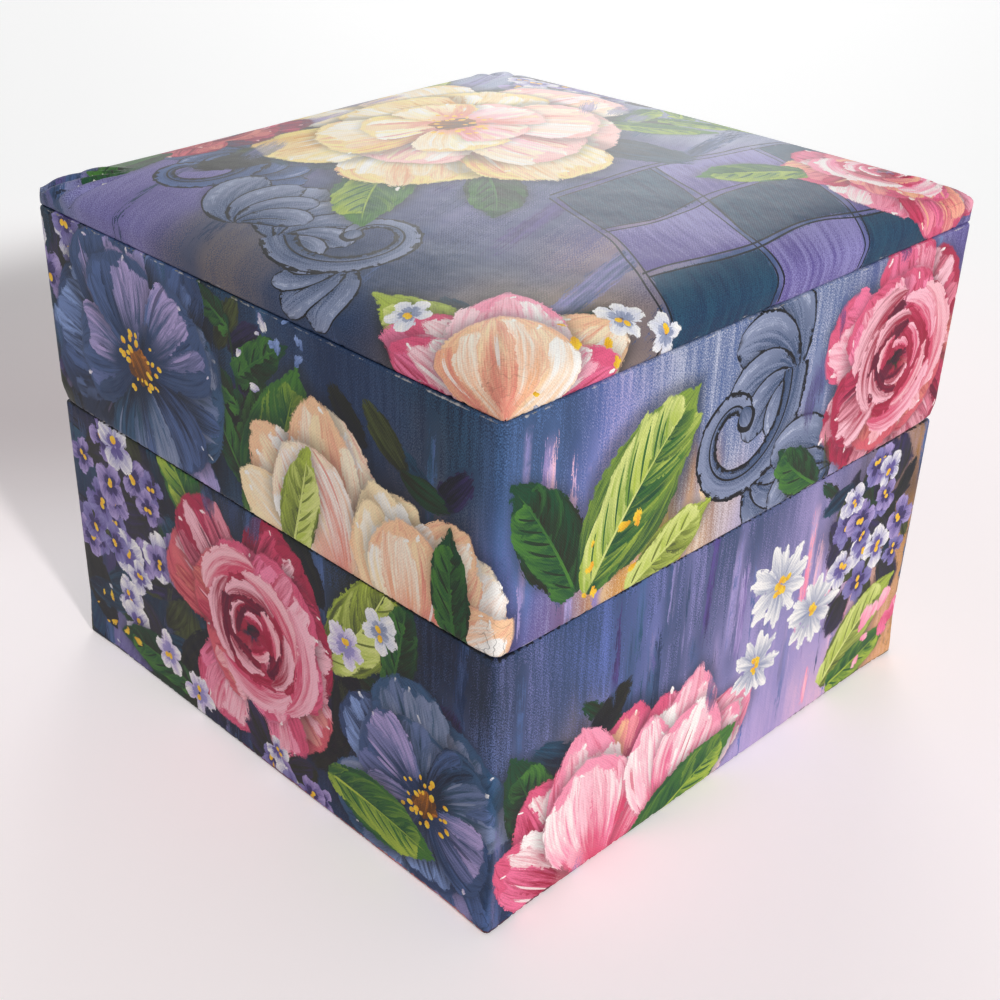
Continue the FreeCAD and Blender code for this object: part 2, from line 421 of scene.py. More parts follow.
class Sheet:
    """A flat sheet of printed paper: its corners, its ground, and the marks laid on it."""

    def __init__(self, corners, ground):
        self.corners, self.ground, self.marks = np.asarray(corners, float), ground, []
        self.rng = None

    def paint(self, origin, steps, seed):
        """Lays motifs in order. Each step is a motif, its place from the origin, and its looks."""
        self.rng = random.Random(seed)
        for motif, place, *looks in steps:
            motif(self, np.add(origin, place), *looks)

    def lay(self, spine, widths, low, high, **how):
        how.setdefault("seed", len(self.marks) + 1)
        self.marks.append(Mark(spine, widths, low, high, **how))

    def stroke(self, root, heading, length, width, low, high, bend=0.0, peak=1.0, blunt=0.7,
               **how):
        spine = bent_line(root, heading, length, bend)
        self.lay(spine, spindle(width, len(spine), peak, blunt), low, high, **how)

    def outline(self):
        """Its edge, with points closer together than the grid's."""
        line = []
        for start, stop in zip(self.corners, np.roll(self.corners, -1, 0)):
            count = max(1, int(np.hypot(*(stop - start)) / GRID))
            line += [start + (stop - start) * i / count for i in range(count)]
        return np.array(line)

    def shown_edges(self):
        """Points and edges of all marks, without those that later paint covers."""
        low, high = self.corners.min(0), self.corners.max(0)
        marks = [mark for mark in self.marks
                 if (mark.outline.max(0) > low).all() and (mark.outline.min(0) < high).all()]
        outlines = [mark.outline for mark in marks]
        spines = [mark.spine[1:-1:2] for mark in marks]
        points = np.concatenate(outlines + spines)
        owner = np.concatenate([np.full(len(line), i) for lines in (outlines, spines)
                                for i, line in enumerate(lines)])
        sizes = np.array([len(line) for line in outlines])
        after = np.arange(sizes.sum()) + 1
        after[np.cumsum(sizes) - 1] -= sizes
        hidden = np.zeros(len(points), bool)
        finder = Finder(points)
        for i, mark in enumerate(marks):
            if mark.soft or mark.cover < 1:
                continue
            near = finder.near(mark.outline)
            near = near[(owner[near] < i) & ~hidden[near]]
            near = near[inside(mark.outline, points[near])]
            if len(near):
                hidden[near[mark.paint(points[near])[2] >= 1]] = True
        kept = ~(hidden[:len(after)] & hidden[after])
        edges = np.stack([np.flatnonzero(kept), after[kept]], 1)
        used = ~hidden
        used[edges.ravel()] = True
        return points[used], (np.cumsum(used) - 1)[edges]

    def cut(self, grid):
        """The sheet as triangles whose edges follow every mark, and their middles."""
        rim = self.outline()
        points, edges = self.shown_edges()
        rim_edges = np.stack([np.arange(len(rim)), np.roll(np.arange(len(rim)), -1)], 1)
        edges = np.concatenate([rim_edges, edges + len(rim)])
        flat = [Vector(p) for p in np.concatenate([rim, points, grid]).tolist()]
        found, _, faces, _, _, _ = delaunay_2d_cdt(flat, edges.tolist(), [], 0, 1e-4, False)
        found = np.array(found)
        faces = np.array([face for face in faces if len(face) == 3])
        a, b, c = found[faces[:, 0]], found[faces[:, 1]], found[faces[:, 2]]
        area = (b[:, 0] - a[:, 0]) * (c[:, 1] - a[:, 1]) - (b[:, 1] - a[:, 1]) * (c[:, 0] - a[:, 0])
        middle = (a + b + c) / 3
        held = inside(self.corners, middle) & (np.abs(area) > 1e-7)
        faces, middle, area = faces[held], middle[held], area[held]
        faces = np.where(area[:, None] < 0, faces[:, ::-1], faces)
        used, faces = np.unique(faces, return_inverse=True)
        return found[used], faces.reshape(-1, 3), middle

    def colour(self, points, faces, middle):
        """Paint at every corner of every triangle, with the marks laid in order."""
        corners = faces.ravel()
        low, high, strokes, tone = self.ground.paint(points)
        laid = np.tile((self.ground.streak * 0.6, 1.0, 1.0), (len(points), 1))
        table = np.concatenate([low, high, (low + high) / 2, strokes, tone[:, None], laid], 1)
        table = table.astype(np.float32)[corners]
        finder = Finder(middle)
        for mark in self.marks:
            near = finder.near(mark.outline)
            near = near[inside(mark.outline, middle[near])]
            if len(near):
                at = (near[:, None] * 3 + np.arange(3)).ravel()
                own, place = np.unique(corners[at], return_inverse=True)
                fresh = [part[place] for part in mark.paint(points[own])]
                table[at] = self.laid(table[at], mark, *fresh)
        return table

    @staticmethod
    def laid(table, mark, strokes, tone, lay):
        """The paint after a mark has gone over it."""
        low, high, under = table[:, LOW], table[:, HIGH], table[:, UNDER]
        if mark.soft:
            share = (mark.cover * smooth(lay))[:, None]
            low += share * (mark.low - low)
            high += share * (mark.high - high)
            under += share * ((mark.low + mark.high) / 2 - under)
            return table
        seen = low + smooth(table[:, TONE, None]) * (high - low)
        seen = under + smooth(table[:, LAY, None] * 1.6 - 0.3) * (seen - under)
        table[:, UNDER] = seen
        table[:, LOW] = seen + mark.cover * (mark.low - seen)
        table[:, HIGH] = seen + mark.cover * (mark.high - seen)
        table[:, STROKE] = strokes
        table[:, TONE], table[:, STREAK] = tone, mark.streak
        table[:, LAY], table[:, GRIT] = lay, mark.grit
        return table


# ---------------------------------------------------------------- motifs

# Every motif takes its sheet and its place on it, and draws its chances from the sheet's rng.
# Shades run from deep to pale, palettes and pairs are lists of shades to pick from, and
# headings are in radians.

HEART = (UMBER, ORANGE, YELLOW)
BRISTLES = 2.8  # width of a brush stroke in a petal
UPRIGHT = math.pi / 2
TURN, AROUND = 2 * math.pi, 6.3  # a full turn, and a little more than one
PETAL_POINTS, BRISTLE_POINTS, LEAF_POINTS = 16, 13, 18
LOBE_POINTS, SCROLL_POINTS = 16, 60
DAISY_PETALS = 13
ROSE_WINDS = 12
THICKET = ((OLIVE_BLACK, DEEP_GREEN), (SHADE, OLIVE_BLACK), (DEEP_NAVY, TEAL),
           (OLIVE_BLACK, OLIVE), (SHADE, DEEP_VIOLET))


def ramp(shades, share):
    """A colour between the shades, from 0 at the first to 1 at the last."""
    knots = np.linspace(0, 1, len(shades))
    share = min(max(share, 0), 1)
    return np.array([np.interp(share, knots, [shade[i] for shade in shades]) for i in range(3)])


def field(sheet, place, wide, tall, low, high, weight=1.0):
    """A soft field of colour in the ground."""
    sheet.ground.fields.append((*place, wide, tall, low, high, weight))


def glaze(sheet, place, wide, tall, colour, cover):
    """A soft veil of thin colour."""
    sheet.stroke(place - (wide / 2, 0), 0, wide, tall, colour, colour, soft=True,
                 ragged=min(wide, tall) * 0.35, cover=cover)


def petal(sheet, root, heading, length, width, shades, open_tip=0.62):
    """A broad petal: a shadow round it, an underpaint, and a fan of ragged brush strokes.

    open_tip near 0.6 leaves the tip broad, 1 brings it to a point.
    """
    rng = sheet.rng
    bend = rng.uniform(-0.45, 0.45)
    line = bent_line(root, heading, length, bend, PETAL_POINTS)
    across = normals(line)
    share = np.linspace(0, 1, len(line))
    swell = np.sin(math.pi * open_tip * share ** 1.1)

    def beside(lean, spread, at):
        """Part of a line beside the petal's middle line. lean goes from -1 to 1 across it."""
        return resampled(line + across * (lean * width * spread * swell)[:, None], share, at)

    sheet.stroke(root, heading, length * 1.1, width * 1.2, SHADE, SHADE, bend, 1.3, 0.6,
                 soft=True, ragged=3.0, cover=0.5)
    rounded = np.sqrt(1 - np.clip((share - 0.7) / 0.3, 0, 1) ** 2)
    sheet.lay(line, width * 0.46 * swell * rounded, shades[0], ramp(shades, 0.45),
              tone=(0.1, 0.9), streak=0.9, ragged=0.7)
    count = int(min(max(width / BRISTLES, 4), 9))
    lit = rng.choice((-1, 1))
    notch = rng.uniform(0, AROUND)
    order = list(range(count))
    rng.shuffle(order)
    tips = []
    for i in order:
        lean = (i + 0.5) / count * 2 - 1
        reach = 1 - 0.2 * abs(lean) ** 2.2 - 0.07 * abs(math.sin(3.4 * lean + notch))
        reach *= rng.uniform(0.92, 1.07)
        begin = rng.uniform(0.0, 0.3)
        at = np.linspace(begin, reach, BRISTLE_POINTS)
        spine = beside(lean, 0.43, at) + turned(heading) * max(0, reach - 1) * length
        wide = width / count * 0.8 * np.interp(at, share, 0.3 + 0.7 * swell)
        wide *= np.sqrt(1 - np.linspace(0, 1, BRISTLE_POINTS) ** 5) + 0.02
        light = 0.5 + 0.3 * lean * lit + rng.uniform(-0.25, 0.25)
        run = (reach - begin) * length
        sheet.lay(spine, wide, ramp(shades, light - 0.3), ramp(shades, light + 0.3),
                  tone=(rng.uniform(0, 0.2), rng.uniform(0.6, 1.0)), streak=1.0, ragged=0.5,
                  start=run * 0.35, fade=run * 0.1, ruffle=0.5)
        tips.append(spine[-2])
    for tip in rng.sample(tips, 1 + int(length > 18)):
        sheet.stroke(tip, heading + rng.uniform(-1.0, 1.0), rng.uniform(0.9, 2.0),
                     rng.uniform(0.5, 1.0), ramp(shades, 0.95), WHITE, streak=0.5, ragged=0.15)
    for _ in range(2):
        lean = rng.uniform(-0.9, 0.9)
        at = np.linspace(rng.uniform(0.2, 0.5), rng.uniform(0.7, 0.96), 8)
        hair = rng.choice((shades[-1], shades[-1], shades[0]))
        sheet.lay(beside(lean, 0.45, at), spindle(rng.uniform(0.35, 0.7), 8, 1.3), hair, hair,
                  streak=0.5, ragged=0.0, start=length * 0.25, fade=length * 0.2, cover=0.7)
    sheet.stroke(root, heading, length * 0.55, width * 0.5, shades[0], shades[0], bend, 0.9,
                 0.8, soft=True, ragged=width * 0.2, cover=0.6)


def bloom(sheet, place, radius, palettes, petals=6, rings=3, turn=0.0, heart=True):
    """A full open flower of overlapping rings of petals round a dotted heart."""
    rng = sheet.rng
    for ring in range(rings):
        share = 1 - 0.27 * ring
        count = max(4, petals - ring)
        order = list(range(count))
        rng.shuffle(order)
        for i in order:
            heading = turn + (i + 0.5 * ring) * TURN / count + rng.uniform(-0.22, 0.22)
            length = radius * share * rng.uniform(0.85, 1.1)
            width = min(radius * share * 6.2 / count * rng.uniform(0.85, 1.1), length * 1.15)
            root = place + turned(heading) * radius * 0.02
            petal(sheet, root, heading, length, width, rng.choice(palettes))
    if heart:
        dotted_heart(sheet, place, radius * 0.17)


def dotted_heart(sheet, place, radius):
    """A dark eye ringed with loose dots of pollen."""
    rng = sheet.rng
    dark, middle, light = HEART
    for _ in range(5):
        heading = rng.uniform(0, TURN)
        sheet.stroke(place - turned(heading) * radius * 0.8, heading, radius * 1.6, radius * 0.9,
                     dark, middle, rng.uniform(-0.6, 0.6), tone=(0.0, 0.4), ragged=0.4)
    for _ in range(int(14 + radius * 4)):
        heading, reach = rng.uniform(0, TURN), radius * rng.uniform(0.3, 1.25)
        size = rng.uniform(0.5, 1.1)
        sheet.stroke(place + turned(heading) * reach, heading + rng.uniform(-0.7, 0.7),
                     size * 1.5, size, middle, light, tone=(0.3, 1.0), streak=0.3, ragged=0.0)


def rose(sheet, place, radius, palettes):
    """A full rose: broad outer petals, then crescents that wind in to a dark heart."""
    rng = sheet.rng
    bloom(sheet, place, radius, palettes, 7, 2, rng.uniform(0, 1), heart=False)
    for i in range(ROSE_WINDS):
        reach = radius * (0.56 - 0.46 * i / ROSE_WINDS)
        angle = i * 2.4 + rng.uniform(-0.25, 0.25)
        span = rng.uniform(1.5, 2.1)
        shades = rng.choice(palettes)
        start = angle - span / 2
        heading = start + math.pi / 2
        inner = reach * 0.8
        sheet.stroke(place + turned(start) * inner, heading, inner * span, reach * 0.62, shades[0],
                     ramp(shades, 0.3), span, tone=(0.1, 0.5), streak=0.9, ragged=0.5)
        sheet.stroke(place + turned(start) * reach, heading, reach * span, reach * 0.44,
                     ramp(shades, 0.35), ramp(shades, 0.95), span, blunt=0.6, tone=(0.3, 0.8),
                     side=-0.5, streak=1.0, ragged=0.4, ruffle=0.5)
    sheet.stroke(place - (radius * 0.07, 0), 0.3, radius * 0.16, radius * 0.1, SHADE,
                 palettes[0][0], ragged=0.3)


def tulip(sheet, root, heading, length, palettes):
    """A cup flower seen from the side: back petals, two curled sides and a broad front."""
    rng = sheet.rng
    leans = ((-0.36, 0.97, 0.5), (0.38, 0.95, 0.5), (0.0, 1.0, 0.5), (-0.68, 0.85, 0.4),
             (0.7, 0.86, 0.4), (rng.uniform(-0.1, 0.1), 0.8, 0.62))
    for lean, share, wide in leans:
        petal(sheet, root, heading + lean, length * share, length * wide, rng.choice(palettes),
              0.78)


def daisy(sheet, place, radius):
    """A ray of narrow petals round a raised yellow heart."""
    rng = sheet.rng
    for i in range(DAISY_PETALS):
        heading = i * TURN / DAISY_PETALS + rng.uniform(-0.12, 0.12)
        reach = radius * rng.uniform(0.8, 1.08)
        sheet.stroke(place, heading, reach, radius * 0.34, MIST, WHITE, rng.uniform(-0.3, 0.3),
                     1.4, 0.6, tone=(0.1, 0.9), streak=0.7, ragged=0.3)
    for i in range(10):
        spot = place + turned(rng.uniform(0, AROUND)) * radius * 0.16 * rng.random()
        sheet.stroke(spot, rng.uniform(0, AROUND), radius * 0.2, radius * 0.14,
                     ORANGE if i < 5 else OCHRE, YELLOW, tone=(0.2, 1.0), ragged=0.0, streak=0.3)


def floret(sheet, place, size, palettes, petals=4):
    """A little flower of round petals with a bright eye. palettes may be one palette alone."""
    rng = sheet.rng
    deep, middle, light = rng.choice(palettes) if isinstance(palettes, list) else palettes
    turn = rng.uniform(0, math.pi)
    for i in range(petals):
        heading = turn + i * TURN / petals + rng.uniform(-0.15, 0.15)
        reach = size / 2 * rng.uniform(0.85, 1.1)
        sheet.stroke(place, heading, reach, reach * 2.2 / petals * 1.75, middle, light,
                     rng.uniform(-0.3, 0.3), 1.5, 0.55, tone=(0.0, 0.8), streak=0.6, ragged=0.3)
        sheet.stroke(place, heading, reach * 0.6, reach * 0.4, deep, middle, 0, 1.0, 0.7,
                     tone=(0.0, 0.5), streak=0.5, ragged=0.0, fade=reach * 0.3)
    for _ in range(2):
        spot = place + turned(rng.uniform(0, AROUND)) * size * 0.04
        sheet.stroke(spot, rng.uniform(0, AROUND), size * 0.17, size * 0.13, ORANGE, YELLOW,
                     tone=(0.4, 0.9), ragged=0.0, streak=0.2)


def cluster(sheet, place, wide, tall, palettes, count=16, size=7.0):
    """Florets heaped over dark foliage."""
    rng = sheet.rng
    for _ in range(7):
        spot = place + (rng.uniform(-wide, wide) * 0.4, rng.uniform(-tall, tall) * 0.4)
        sheet.stroke(spot, rng.uniform(0, AROUND), wide * 0.5, wide * 0.32, OLIVE_BLACK, DEEP_VIOLET,
                     rng.uniform(-0.5, 0.5), streak=0.9, ragged=1.6, tone=(0.1, 0.6), ruffle=0.6)
    for _ in range(count):
        spread = math.sqrt(rng.random())
        spot = place + turned(rng.uniform(0, TURN)) * spread * (wide / 2, tall / 2)
        floret(sheet, spot, size * rng.uniform(0.75, 1.2), palettes)


def leaf(sheet, root, heading, length, width, shades, veins=True):
    """A pointed leaf brushed out from its midrib on both sides, with a few veins over it."""
    rng = sheet.rng
    bend = rng.uniform(-0.5, 0.5)
    line = bent_line(root, heading, length, bend, LEAF_POINTS)
    half = spindle(width, len(line), 0.85, 0.85)
    knots = np.linspace(0, 1, len(half))

    def ribs(count, start, stretch, ahead, times):
        """Root, heading, reach and side of each rib, on both sides of the midrib in turn."""
        for i in range(count):
            share = start + stretch * i / count
            reach = np.interp(share + ahead, knots, half) * times
            for side in (-1, 1):
                yield line[int(share * (len(line) - 1))], heading + bend * share, reach, side

    sheet.stroke(root, heading, length * 1.08, width * 1.25, OLIVE_BLACK, OLIVE_BLACK, bend, 0.9,
                 0.8, soft=True, ragged=2.6, cover=0.6)
    sheet.lay(line, half * 0.94, shades[0], ramp(shades, 0.5), tone=(0.1, 0.8), streak=0.9,
              ragged=0.4, ruffle=0.4)
    lit = rng.choice((-1, 1))
    count = max(4, int(length / 2.1))
    for spot, way, reach, side in ribs(count, 0.04, 0.8, 0.12, 1.5):
        light = 0.52 + 0.24 * side * lit + rng.uniform(-0.22, 0.22)
        sheet.stroke(spot, way + side * 0.66, reach * rng.uniform(0.9, 1.1),
                     length / count * rng.uniform(1.2, 1.7), ramp(shades, light - 0.25),
                     ramp(shades, light + 0.25), -side * 0.35, 0.9, 0.6, tone=(0.2, 0.8),
                     streak=1.0, ragged=0.35, fade=reach * 0.15)
    if not veins:
        return
    for spot, way, reach, side in ribs(max(3, int(length / 4)), 0.1, 0.72, 0.1, 1.3):
        sheet.stroke(spot, way + side * 0.72, reach, rng.uniform(0.3, 0.5), shades[0],
                     ramp(shades, 0.3), -side * 0.4, 0.8, 0.8, tone=(0.3, 0.9), streak=0.5,
                     ragged=0.0, fade=reach * 0.5)
    sheet.lay(line, np.linspace(0.26, 0.06, len(line)), ramp(shades, 0.6), shades[-1],
              tone=(0.8, 0.3), streak=0.9, ragged=0.0, start=length * 0.12, fade=length * 0.3)


def spray(sheet, root, heading, length, shades, leaves, size):
    """Leaves in turn along a bent stem."""
    rng = sheet.rng
    bend = rng.uniform(-0.6, 0.6)
    line = bent_line(root, heading, length, bend)
    sheet.lay(line, np.linspace(0.5, 0.2, len(line)), shades[0], shades[1], tone=(0.2, 0.7),
              ragged=0.0)
    for i in range(leaves):
        share = (i + 0.6) / leaves
        spot = line[int(share * (len(line) - 1))]
        side = 1 if i % 2 else -1
        reach = size * (1.1 - 0.4 * share) * rng.uniform(0.85, 1.15)
        leaf(sheet, spot, heading + bend * share + side * rng.uniform(0.6, 1.0), reach,
             reach * 0.42, shades, veins=reach > 7)


def thicket(sheet, place, wide, tall, count=22):
    """A dark mass of leaves and gaps behind the flowers."""
    rng = sheet.rng
    sheet.stroke(place - (wide * 0.6, 0), 0, wide * 1.2, tall * 1.2, SHADE, DEEP_NAVY, soft=True,
                 ragged=tall * 0.3, cover=0.6)
    for _ in range(count):
        way = turned(rng.uniform(0, TURN)) * math.sqrt(rng.random()) / 2
        low, high = rng.choice(THICKET)
        reach = rng.uniform(0.3, 0.55) * min(wide, tall)
        sheet.stroke(place + way * (wide, tall), rng.uniform(0, TURN), reach, reach * 0.42,
                     low, high, rng.uniform(-0.6, 0.6), 0.9, 0.7, tone=(0.1, 0.7), streak=0.9,
                     ragged=0.7, fade=reach * 0.25, ruffle=0.4)


def bands(sheet, place, span, pairs, count, wide=4.0, heading=UPRIGHT):
    """Dry brush strokes side by side over a rectangle, from its low corner over its span."""
    rng = sheet.rng
    for _ in range(count):
        middle = (rng.uniform(place[0], place[0] + span[0]),
                  rng.uniform(place[1], place[1] + span[1]))
        reach = span[1] * rng.uniform(0.35, 0.9)
        low, high = rng.choice(pairs)
        spine = bent_line(middle - turned(heading) * reach / 2, heading, reach,
                          rng.uniform(-0.08, 0.08), 12)
        widths = np.full(len(spine), rng.uniform(0.5, 1.0) * wide / 2)
        widths[[0, -1]] *= 0.6
        sheet.lay(spine, widths, low, high, tone=(rng.uniform(0.1, 0.6), rng.uniform(0.4, 0.9)),
                  streak=1.0, ragged=wide * 0.42, start=reach * 0.45, fade=reach * 0.45)


def dabs(sheet, place, spread, pairs, count, size):
    """Loose touches of a flat brush round a place."""
    rng = sheet.rng
    for _ in range(count):
        spot = place + turned(rng.uniform(0, AROUND)) * spread * math.sqrt(rng.random())
        low, high = rng.choice(pairs)
        reach = size * rng.uniform(0.6, 1.5)
        sheet.stroke(spot, rng.uniform(0, AROUND), reach, reach * 0.55, low, high,
                     rng.uniform(-0.5, 0.5), 1.3, 0.6, tone=(0.2, 0.9), streak=0.8, ragged=0.2,
                     fade=reach * 0.3)


def scumble(sheet, place, radius, pairs, count=7, heading=UPRIGHT):
    """Thin dry strokes of ground colour dragged back over a flower's edge."""
    rng = sheet.rng
    for _ in range(count):
        spot = place + turned(rng.uniform(0, AROUND)) * radius * rng.uniform(0.85, 1.1)
        low, high = rng.choice(pairs)
        reach = radius * rng.uniform(0.35, 0.7)
        spine = bent_line(spot - turned(heading) * reach / 2, heading + rng.uniform(-0.3, 0.3),
                          reach, rng.uniform(-0.4, 0.4), 10)
        sheet.lay(spine, spindle(radius * rng.uniform(0.1, 0.2), 11, 1.0, 0.5), low, high,
                  tone=(0.3, 0.7), streak=1.0, ragged=1.2, start=reach * 0.5, fade=reach * 0.6,
                  cover=0.7, grit=0.9)


def feather(sheet, root, heading, length, width, bend, shades):
    """One lobe of a scroll leaf: dark outline, shaded body, a soft pale rim and a vein."""
    deep, middle, light = shades
    spine = bent_line(root, heading, length, bend, LOBE_POINTS)
    half = spindle(width, len(spine), 1.4, 0.5)
    outer = -np.sign(bend)
    sheet.stroke(root, heading, length * 1.05, width * 1.3, INK, SHADE, bend, 1.4, 0.6, soft=True,
                 ragged=2.0, cover=0.5)
    sheet.lay(spine, half + 0.32, INK, SHADE, tone=(0.1, 0.5), streak=0.6, ragged=0.1)
    sheet.lay(spine, half, deep, middle, tone=(0.0, 0.8), side=0.35 * outer, streak=0.8,
              ragged=0.2, grit=0.8)
    rim = spine + normals(spine) * (half * 0.66 * outer)[:, None]
    sheet.lay(rim[5:], half[5:] * 0.26, middle, light, tone=(0.0, 0.7), streak=0.7,
              ragged=width * 0.16, start=length * 0.35, fade=length * 0.15, grit=0.8)
    vein = spine - normals(spine) * (half * 0.25 * outer)[:, None]
    reach = 10 + int(sheet.rng.random() * 4)
    sheet.lay(vein[1:reach], np.linspace(0.2, 0.06, reach - 1), INK, SHADE, streak=0.4,
              ragged=0.0)


def plume(sheet, root, heading, length, hand, shades, count=5):
    """Lobes that fan from one root and curl over together, the longest first.

    hand is 1 where they curl to the left and -1 to the right.
    """
    for i in range(count):
        reach = length * (1 - 0.12 * i) * sheet.rng.uniform(0.94, 1.06)
        feather(sheet, root, heading + hand * 0.5 * i, reach, reach * 0.5,
                hand * (1.3 + 0.12 * i), shades)


def scroll(sheet, place, size, shades, turn, hand):
    """A traditional C scroll: a flat band that winds into a volute, with plumes off its back."""
    deep, middle = shades[:2]
    share = np.linspace(0, 1, SCROLL_POINTS)
    angles = turn + hand * 6.2 * share
    radii = size * (1 - 0.86 * share ** 0.8)
    line = place + directions(angles) * radii[:, None]
    forward = angles + hand * math.pi / 2
    plume(sheet, line[1], forward[0] + math.pi + hand * 0.5, size * 1.5, -hand, shades)
    plume(sheet, line[14], forward[14] - hand * 1.1, size * 1.1, -hand, shades, 4)
    widths = size * (0.2 - 0.12 * share)
    sheet.lay(line, widths + 0.42, INK, SHADE, tone=(0.1, 0.4), streak=0.5, ragged=0.1)
    sheet.lay(line, widths, deep, middle, tone=(0.3, 0.8), side=-0.4 * hand, streak=0.6,
              ragged=0.2, grit=0.6)
    inner = line + normals(line) * (widths * 0.35 * hand)[:, None]
    sheet.lay(inner, np.full(len(inner), 0.16), INK, SHADE, streak=0.4, ragged=0.0)
    eye = line[-1] - turned(forward[-1]) * size * 0.14
    sheet.stroke(eye, forward[-1], size * 0.34, size * 0.3, INK, SHADE, ragged=0.0)
    sheet.stroke(eye, forward[-1], size * 0.27, size * 0.21, deep, middle, ragged=0.0)


def checks(sheet, origin, across, up, columns, rows):
    """A harlequin of slanted checks with bowed sides, ringed with doubled dark lines."""
    rng = sheet.rng

    def spot(column, row):
        places = origin + np.outer(column, across) + np.outer(row, up)
        return places + np.stack([drift(places, 17.0, 61), drift(places, 15.0, 62)], 1) * (1.6, 1.2)

    steps = np.linspace(0, 1, 22)[:-1]
    full = np.full(len(steps), 1)
    for column in range(columns):
        for row in range(rows):
            low, high = CHECKS[(column + row) % 2]
            edge = np.concatenate([
                spot(column + steps, full * row), spot(full * (column + 1), row + steps),
                spot(column + 1 - steps, full * (row + 1)), spot(full * column, row + 1 - steps)])
            spine = spot(np.full(10, column + 0.5), row + np.linspace(0, 1, 10))
            sheet.lay(spine, np.full(10, np.hypot(*across) / 2), low, high,
                      tone=(rng.uniform(0.1, 0.4), rng.uniform(0.4, 0.9)),
                      side=rng.uniform(-0.3, 0.3), streak=0.8, ragged=1.2, grit=0.9, outline=edge)
    for column in range(columns + 1):
        along = np.linspace(0, rows, 14 * rows)
        double_line(sheet, spot(np.full(len(along), column), along))
    for row in range(rows + 1):
        along = np.linspace(0, columns, 14 * columns)
        double_line(sheet, spot(along, np.full(len(along), row)))


def double_line(sheet, line):
    """Two thin dark lines drawn by hand along a line."""
    for shift in (-0.45, 0.5):
        wobble = drift(line + shift * 40, 6.0, 31) * 0.3 + shift * (1 + 0.4 * sheet.rng.random())
        sheet.lay(line + normals(line) * wobble[:, None],
                  np.full(len(line), sheet.rng.uniform(0.12, 0.2)), INK, DEEP_NAVY,
                  tone=(0.2, 0.5), ragged=0.0, streak=0.4)


# ---------------------------------------------------------------- the garden on each sheet

BLUE_PETALS = [(DEEP_NAVY, NAVY, STEEL, SKY), (DEEP_NAVY, TEAL, STEEL, MIST),
               (NAVY, SLATE, STEEL, LILAC)]
CREAM_PETALS = [(SALMON, PEACH, CREAM, WHITE), (SALMON, CREAM, WHITE, WHITE),
                (PEACH, CREAM, CREAM, WHITE)]
BUTTER_PETALS = [(SALMON, BUTTER, CREAM, WHITE), (OCHRE, BUTTER, CREAM, WHITE),
                 (SALMON, BLUSH, CREAM, WHITE), (ROSE, BLUSH, CREAM, WHITE)]
ROSE_PETALS = [(WINE, CRIMSON, ROSE, BLUSH), (WINE, CRIMSON, ROSE, SALMON),
               (DEEP_VIOLET, WINE, CRIMSON, ROSE)]
LIT_ROSE_PETALS = [(WINE, CRIMSON, ROSE, BLUSH), (CRIMSON, ROSE, PINK, BLUSH),
                   (CRIMSON, ROSE, SALMON, BLUSH)]
PINK_PETALS = [(CRIMSON, ROSE, PINK, WHITE), (ROSE, PINK, BLUSH, WHITE),
               (CRIMSON, ROSE, PINK, PEACH)]
VIOLET_PETALS = [(DEEP_NAVY, DEEP_VIOLET, VIOLET, LILAC), (DEEP_VIOLET, VIOLET, LAVENDER, LILAC)]
LILACS = [(DEEP_VIOLET, VIOLET, LAVENDER), (DEEP_VIOLET, VIOLET, LILAC), (VIOLET, LAVENDER, WHITE)]
WHITES = [(MIST, PEARL, WHITE), (LAVENDER, LILAC, WHITE)]
GREENS = (DEEP_GREEN, LEAF, LIME)
SUNNY_GREENS = (DEEP_GREEN, LEAF, LIME, PALE_LIME)
DARK_GREENS = (OLIVE_BLACK, DEEP_GREEN, LEAF)
LIMES = (OLIVE, LIME, PALE_LIME)
SLATES = (SLATE, MIST, PALE_SLATE)
DIM_SLATES = (NAVY, STEEL, DIM_PALE_SLATE)
CHECKS = [(NAVY, TEAL), (VIOLET, LAVENDER)]
STREAKS = [(NAVY, SLATE), (SLATE, STEEL), (DEEP_VIOLET, VIOLET), (TEAL, STEEL), (NAVY, STEEL),
           (SLATE, LAVENDER)]
ROSY_STREAKS = [(LAVENDER, LILAC), (VIOLET, LILAC), (LILAC, BLUSH), (SLATE, LILAC),
                (STEEL, LAVENDER)]
HAZY_STREAKS = [(STEEL, MIST), (MIST, PEARL), (SLATE, MIST), (LAVENDER, LILAC), (STEEL, SKY)]

# Steps for Sheet.paint, from the back of the picture to its front. On a side of the box, places
# are from its middle and up from its lower fold, seen from outside. On the top they are from
# its middle, with the front corner at the lower left.

LID_LEFT = [
    (field, (-28, 20), 30, 24, SHADE, TEAL),
    (field, (20, 22), 20, 18, NAVY, SLATE),
    (field, (42, 26), 10, 12, DEEP_NAVY, TEAL),
    (field, (38, 14), 8, 9, SLATE, TAN, 0.8),
    (field, (47, 4), 7, 9, DEEP_VIOLET, VIOLET),
    (bands, (-50, 0), (94, 32), STREAKS, 26),
    (thicket, (-22, 12), 66, 30, 30),
    (thicket, (24, 10), 44, 26, 26),
    (cluster, (-45, 24), 18, 20, LILACS, 10, 8),
    (spray, (0, -2), 1.5, 32, DARK_GREENS, 6, 16),
    (bloom, (-25, 14), 24, BLUE_PETALS, 6, 2),
    (leaf, (1, -2), 1.05, 32, 16, GREENS),
    (tulip, (22, -6), 1.85, 31, CREAM_PETALS),
    (tulip, (34, -8), 1.35, 27, CREAM_PETALS),
    (leaf, (10, -3), 1.3, 20, 9, LIMES),
    (leaf, (43, -2), 1.8, 18, 8, DARK_GREENS),
    (scumble, (-25, 14), 22, [(NAVY, SLATE), (TEAL, STEEL)]),
    (dabs, (8, 26), 8, [(LAVENDER, WHITE), (STEEL, SKY)], 10, 2.4),
    (glaze, (-44, 2), 26, 12, SHADE, 0.55),
]
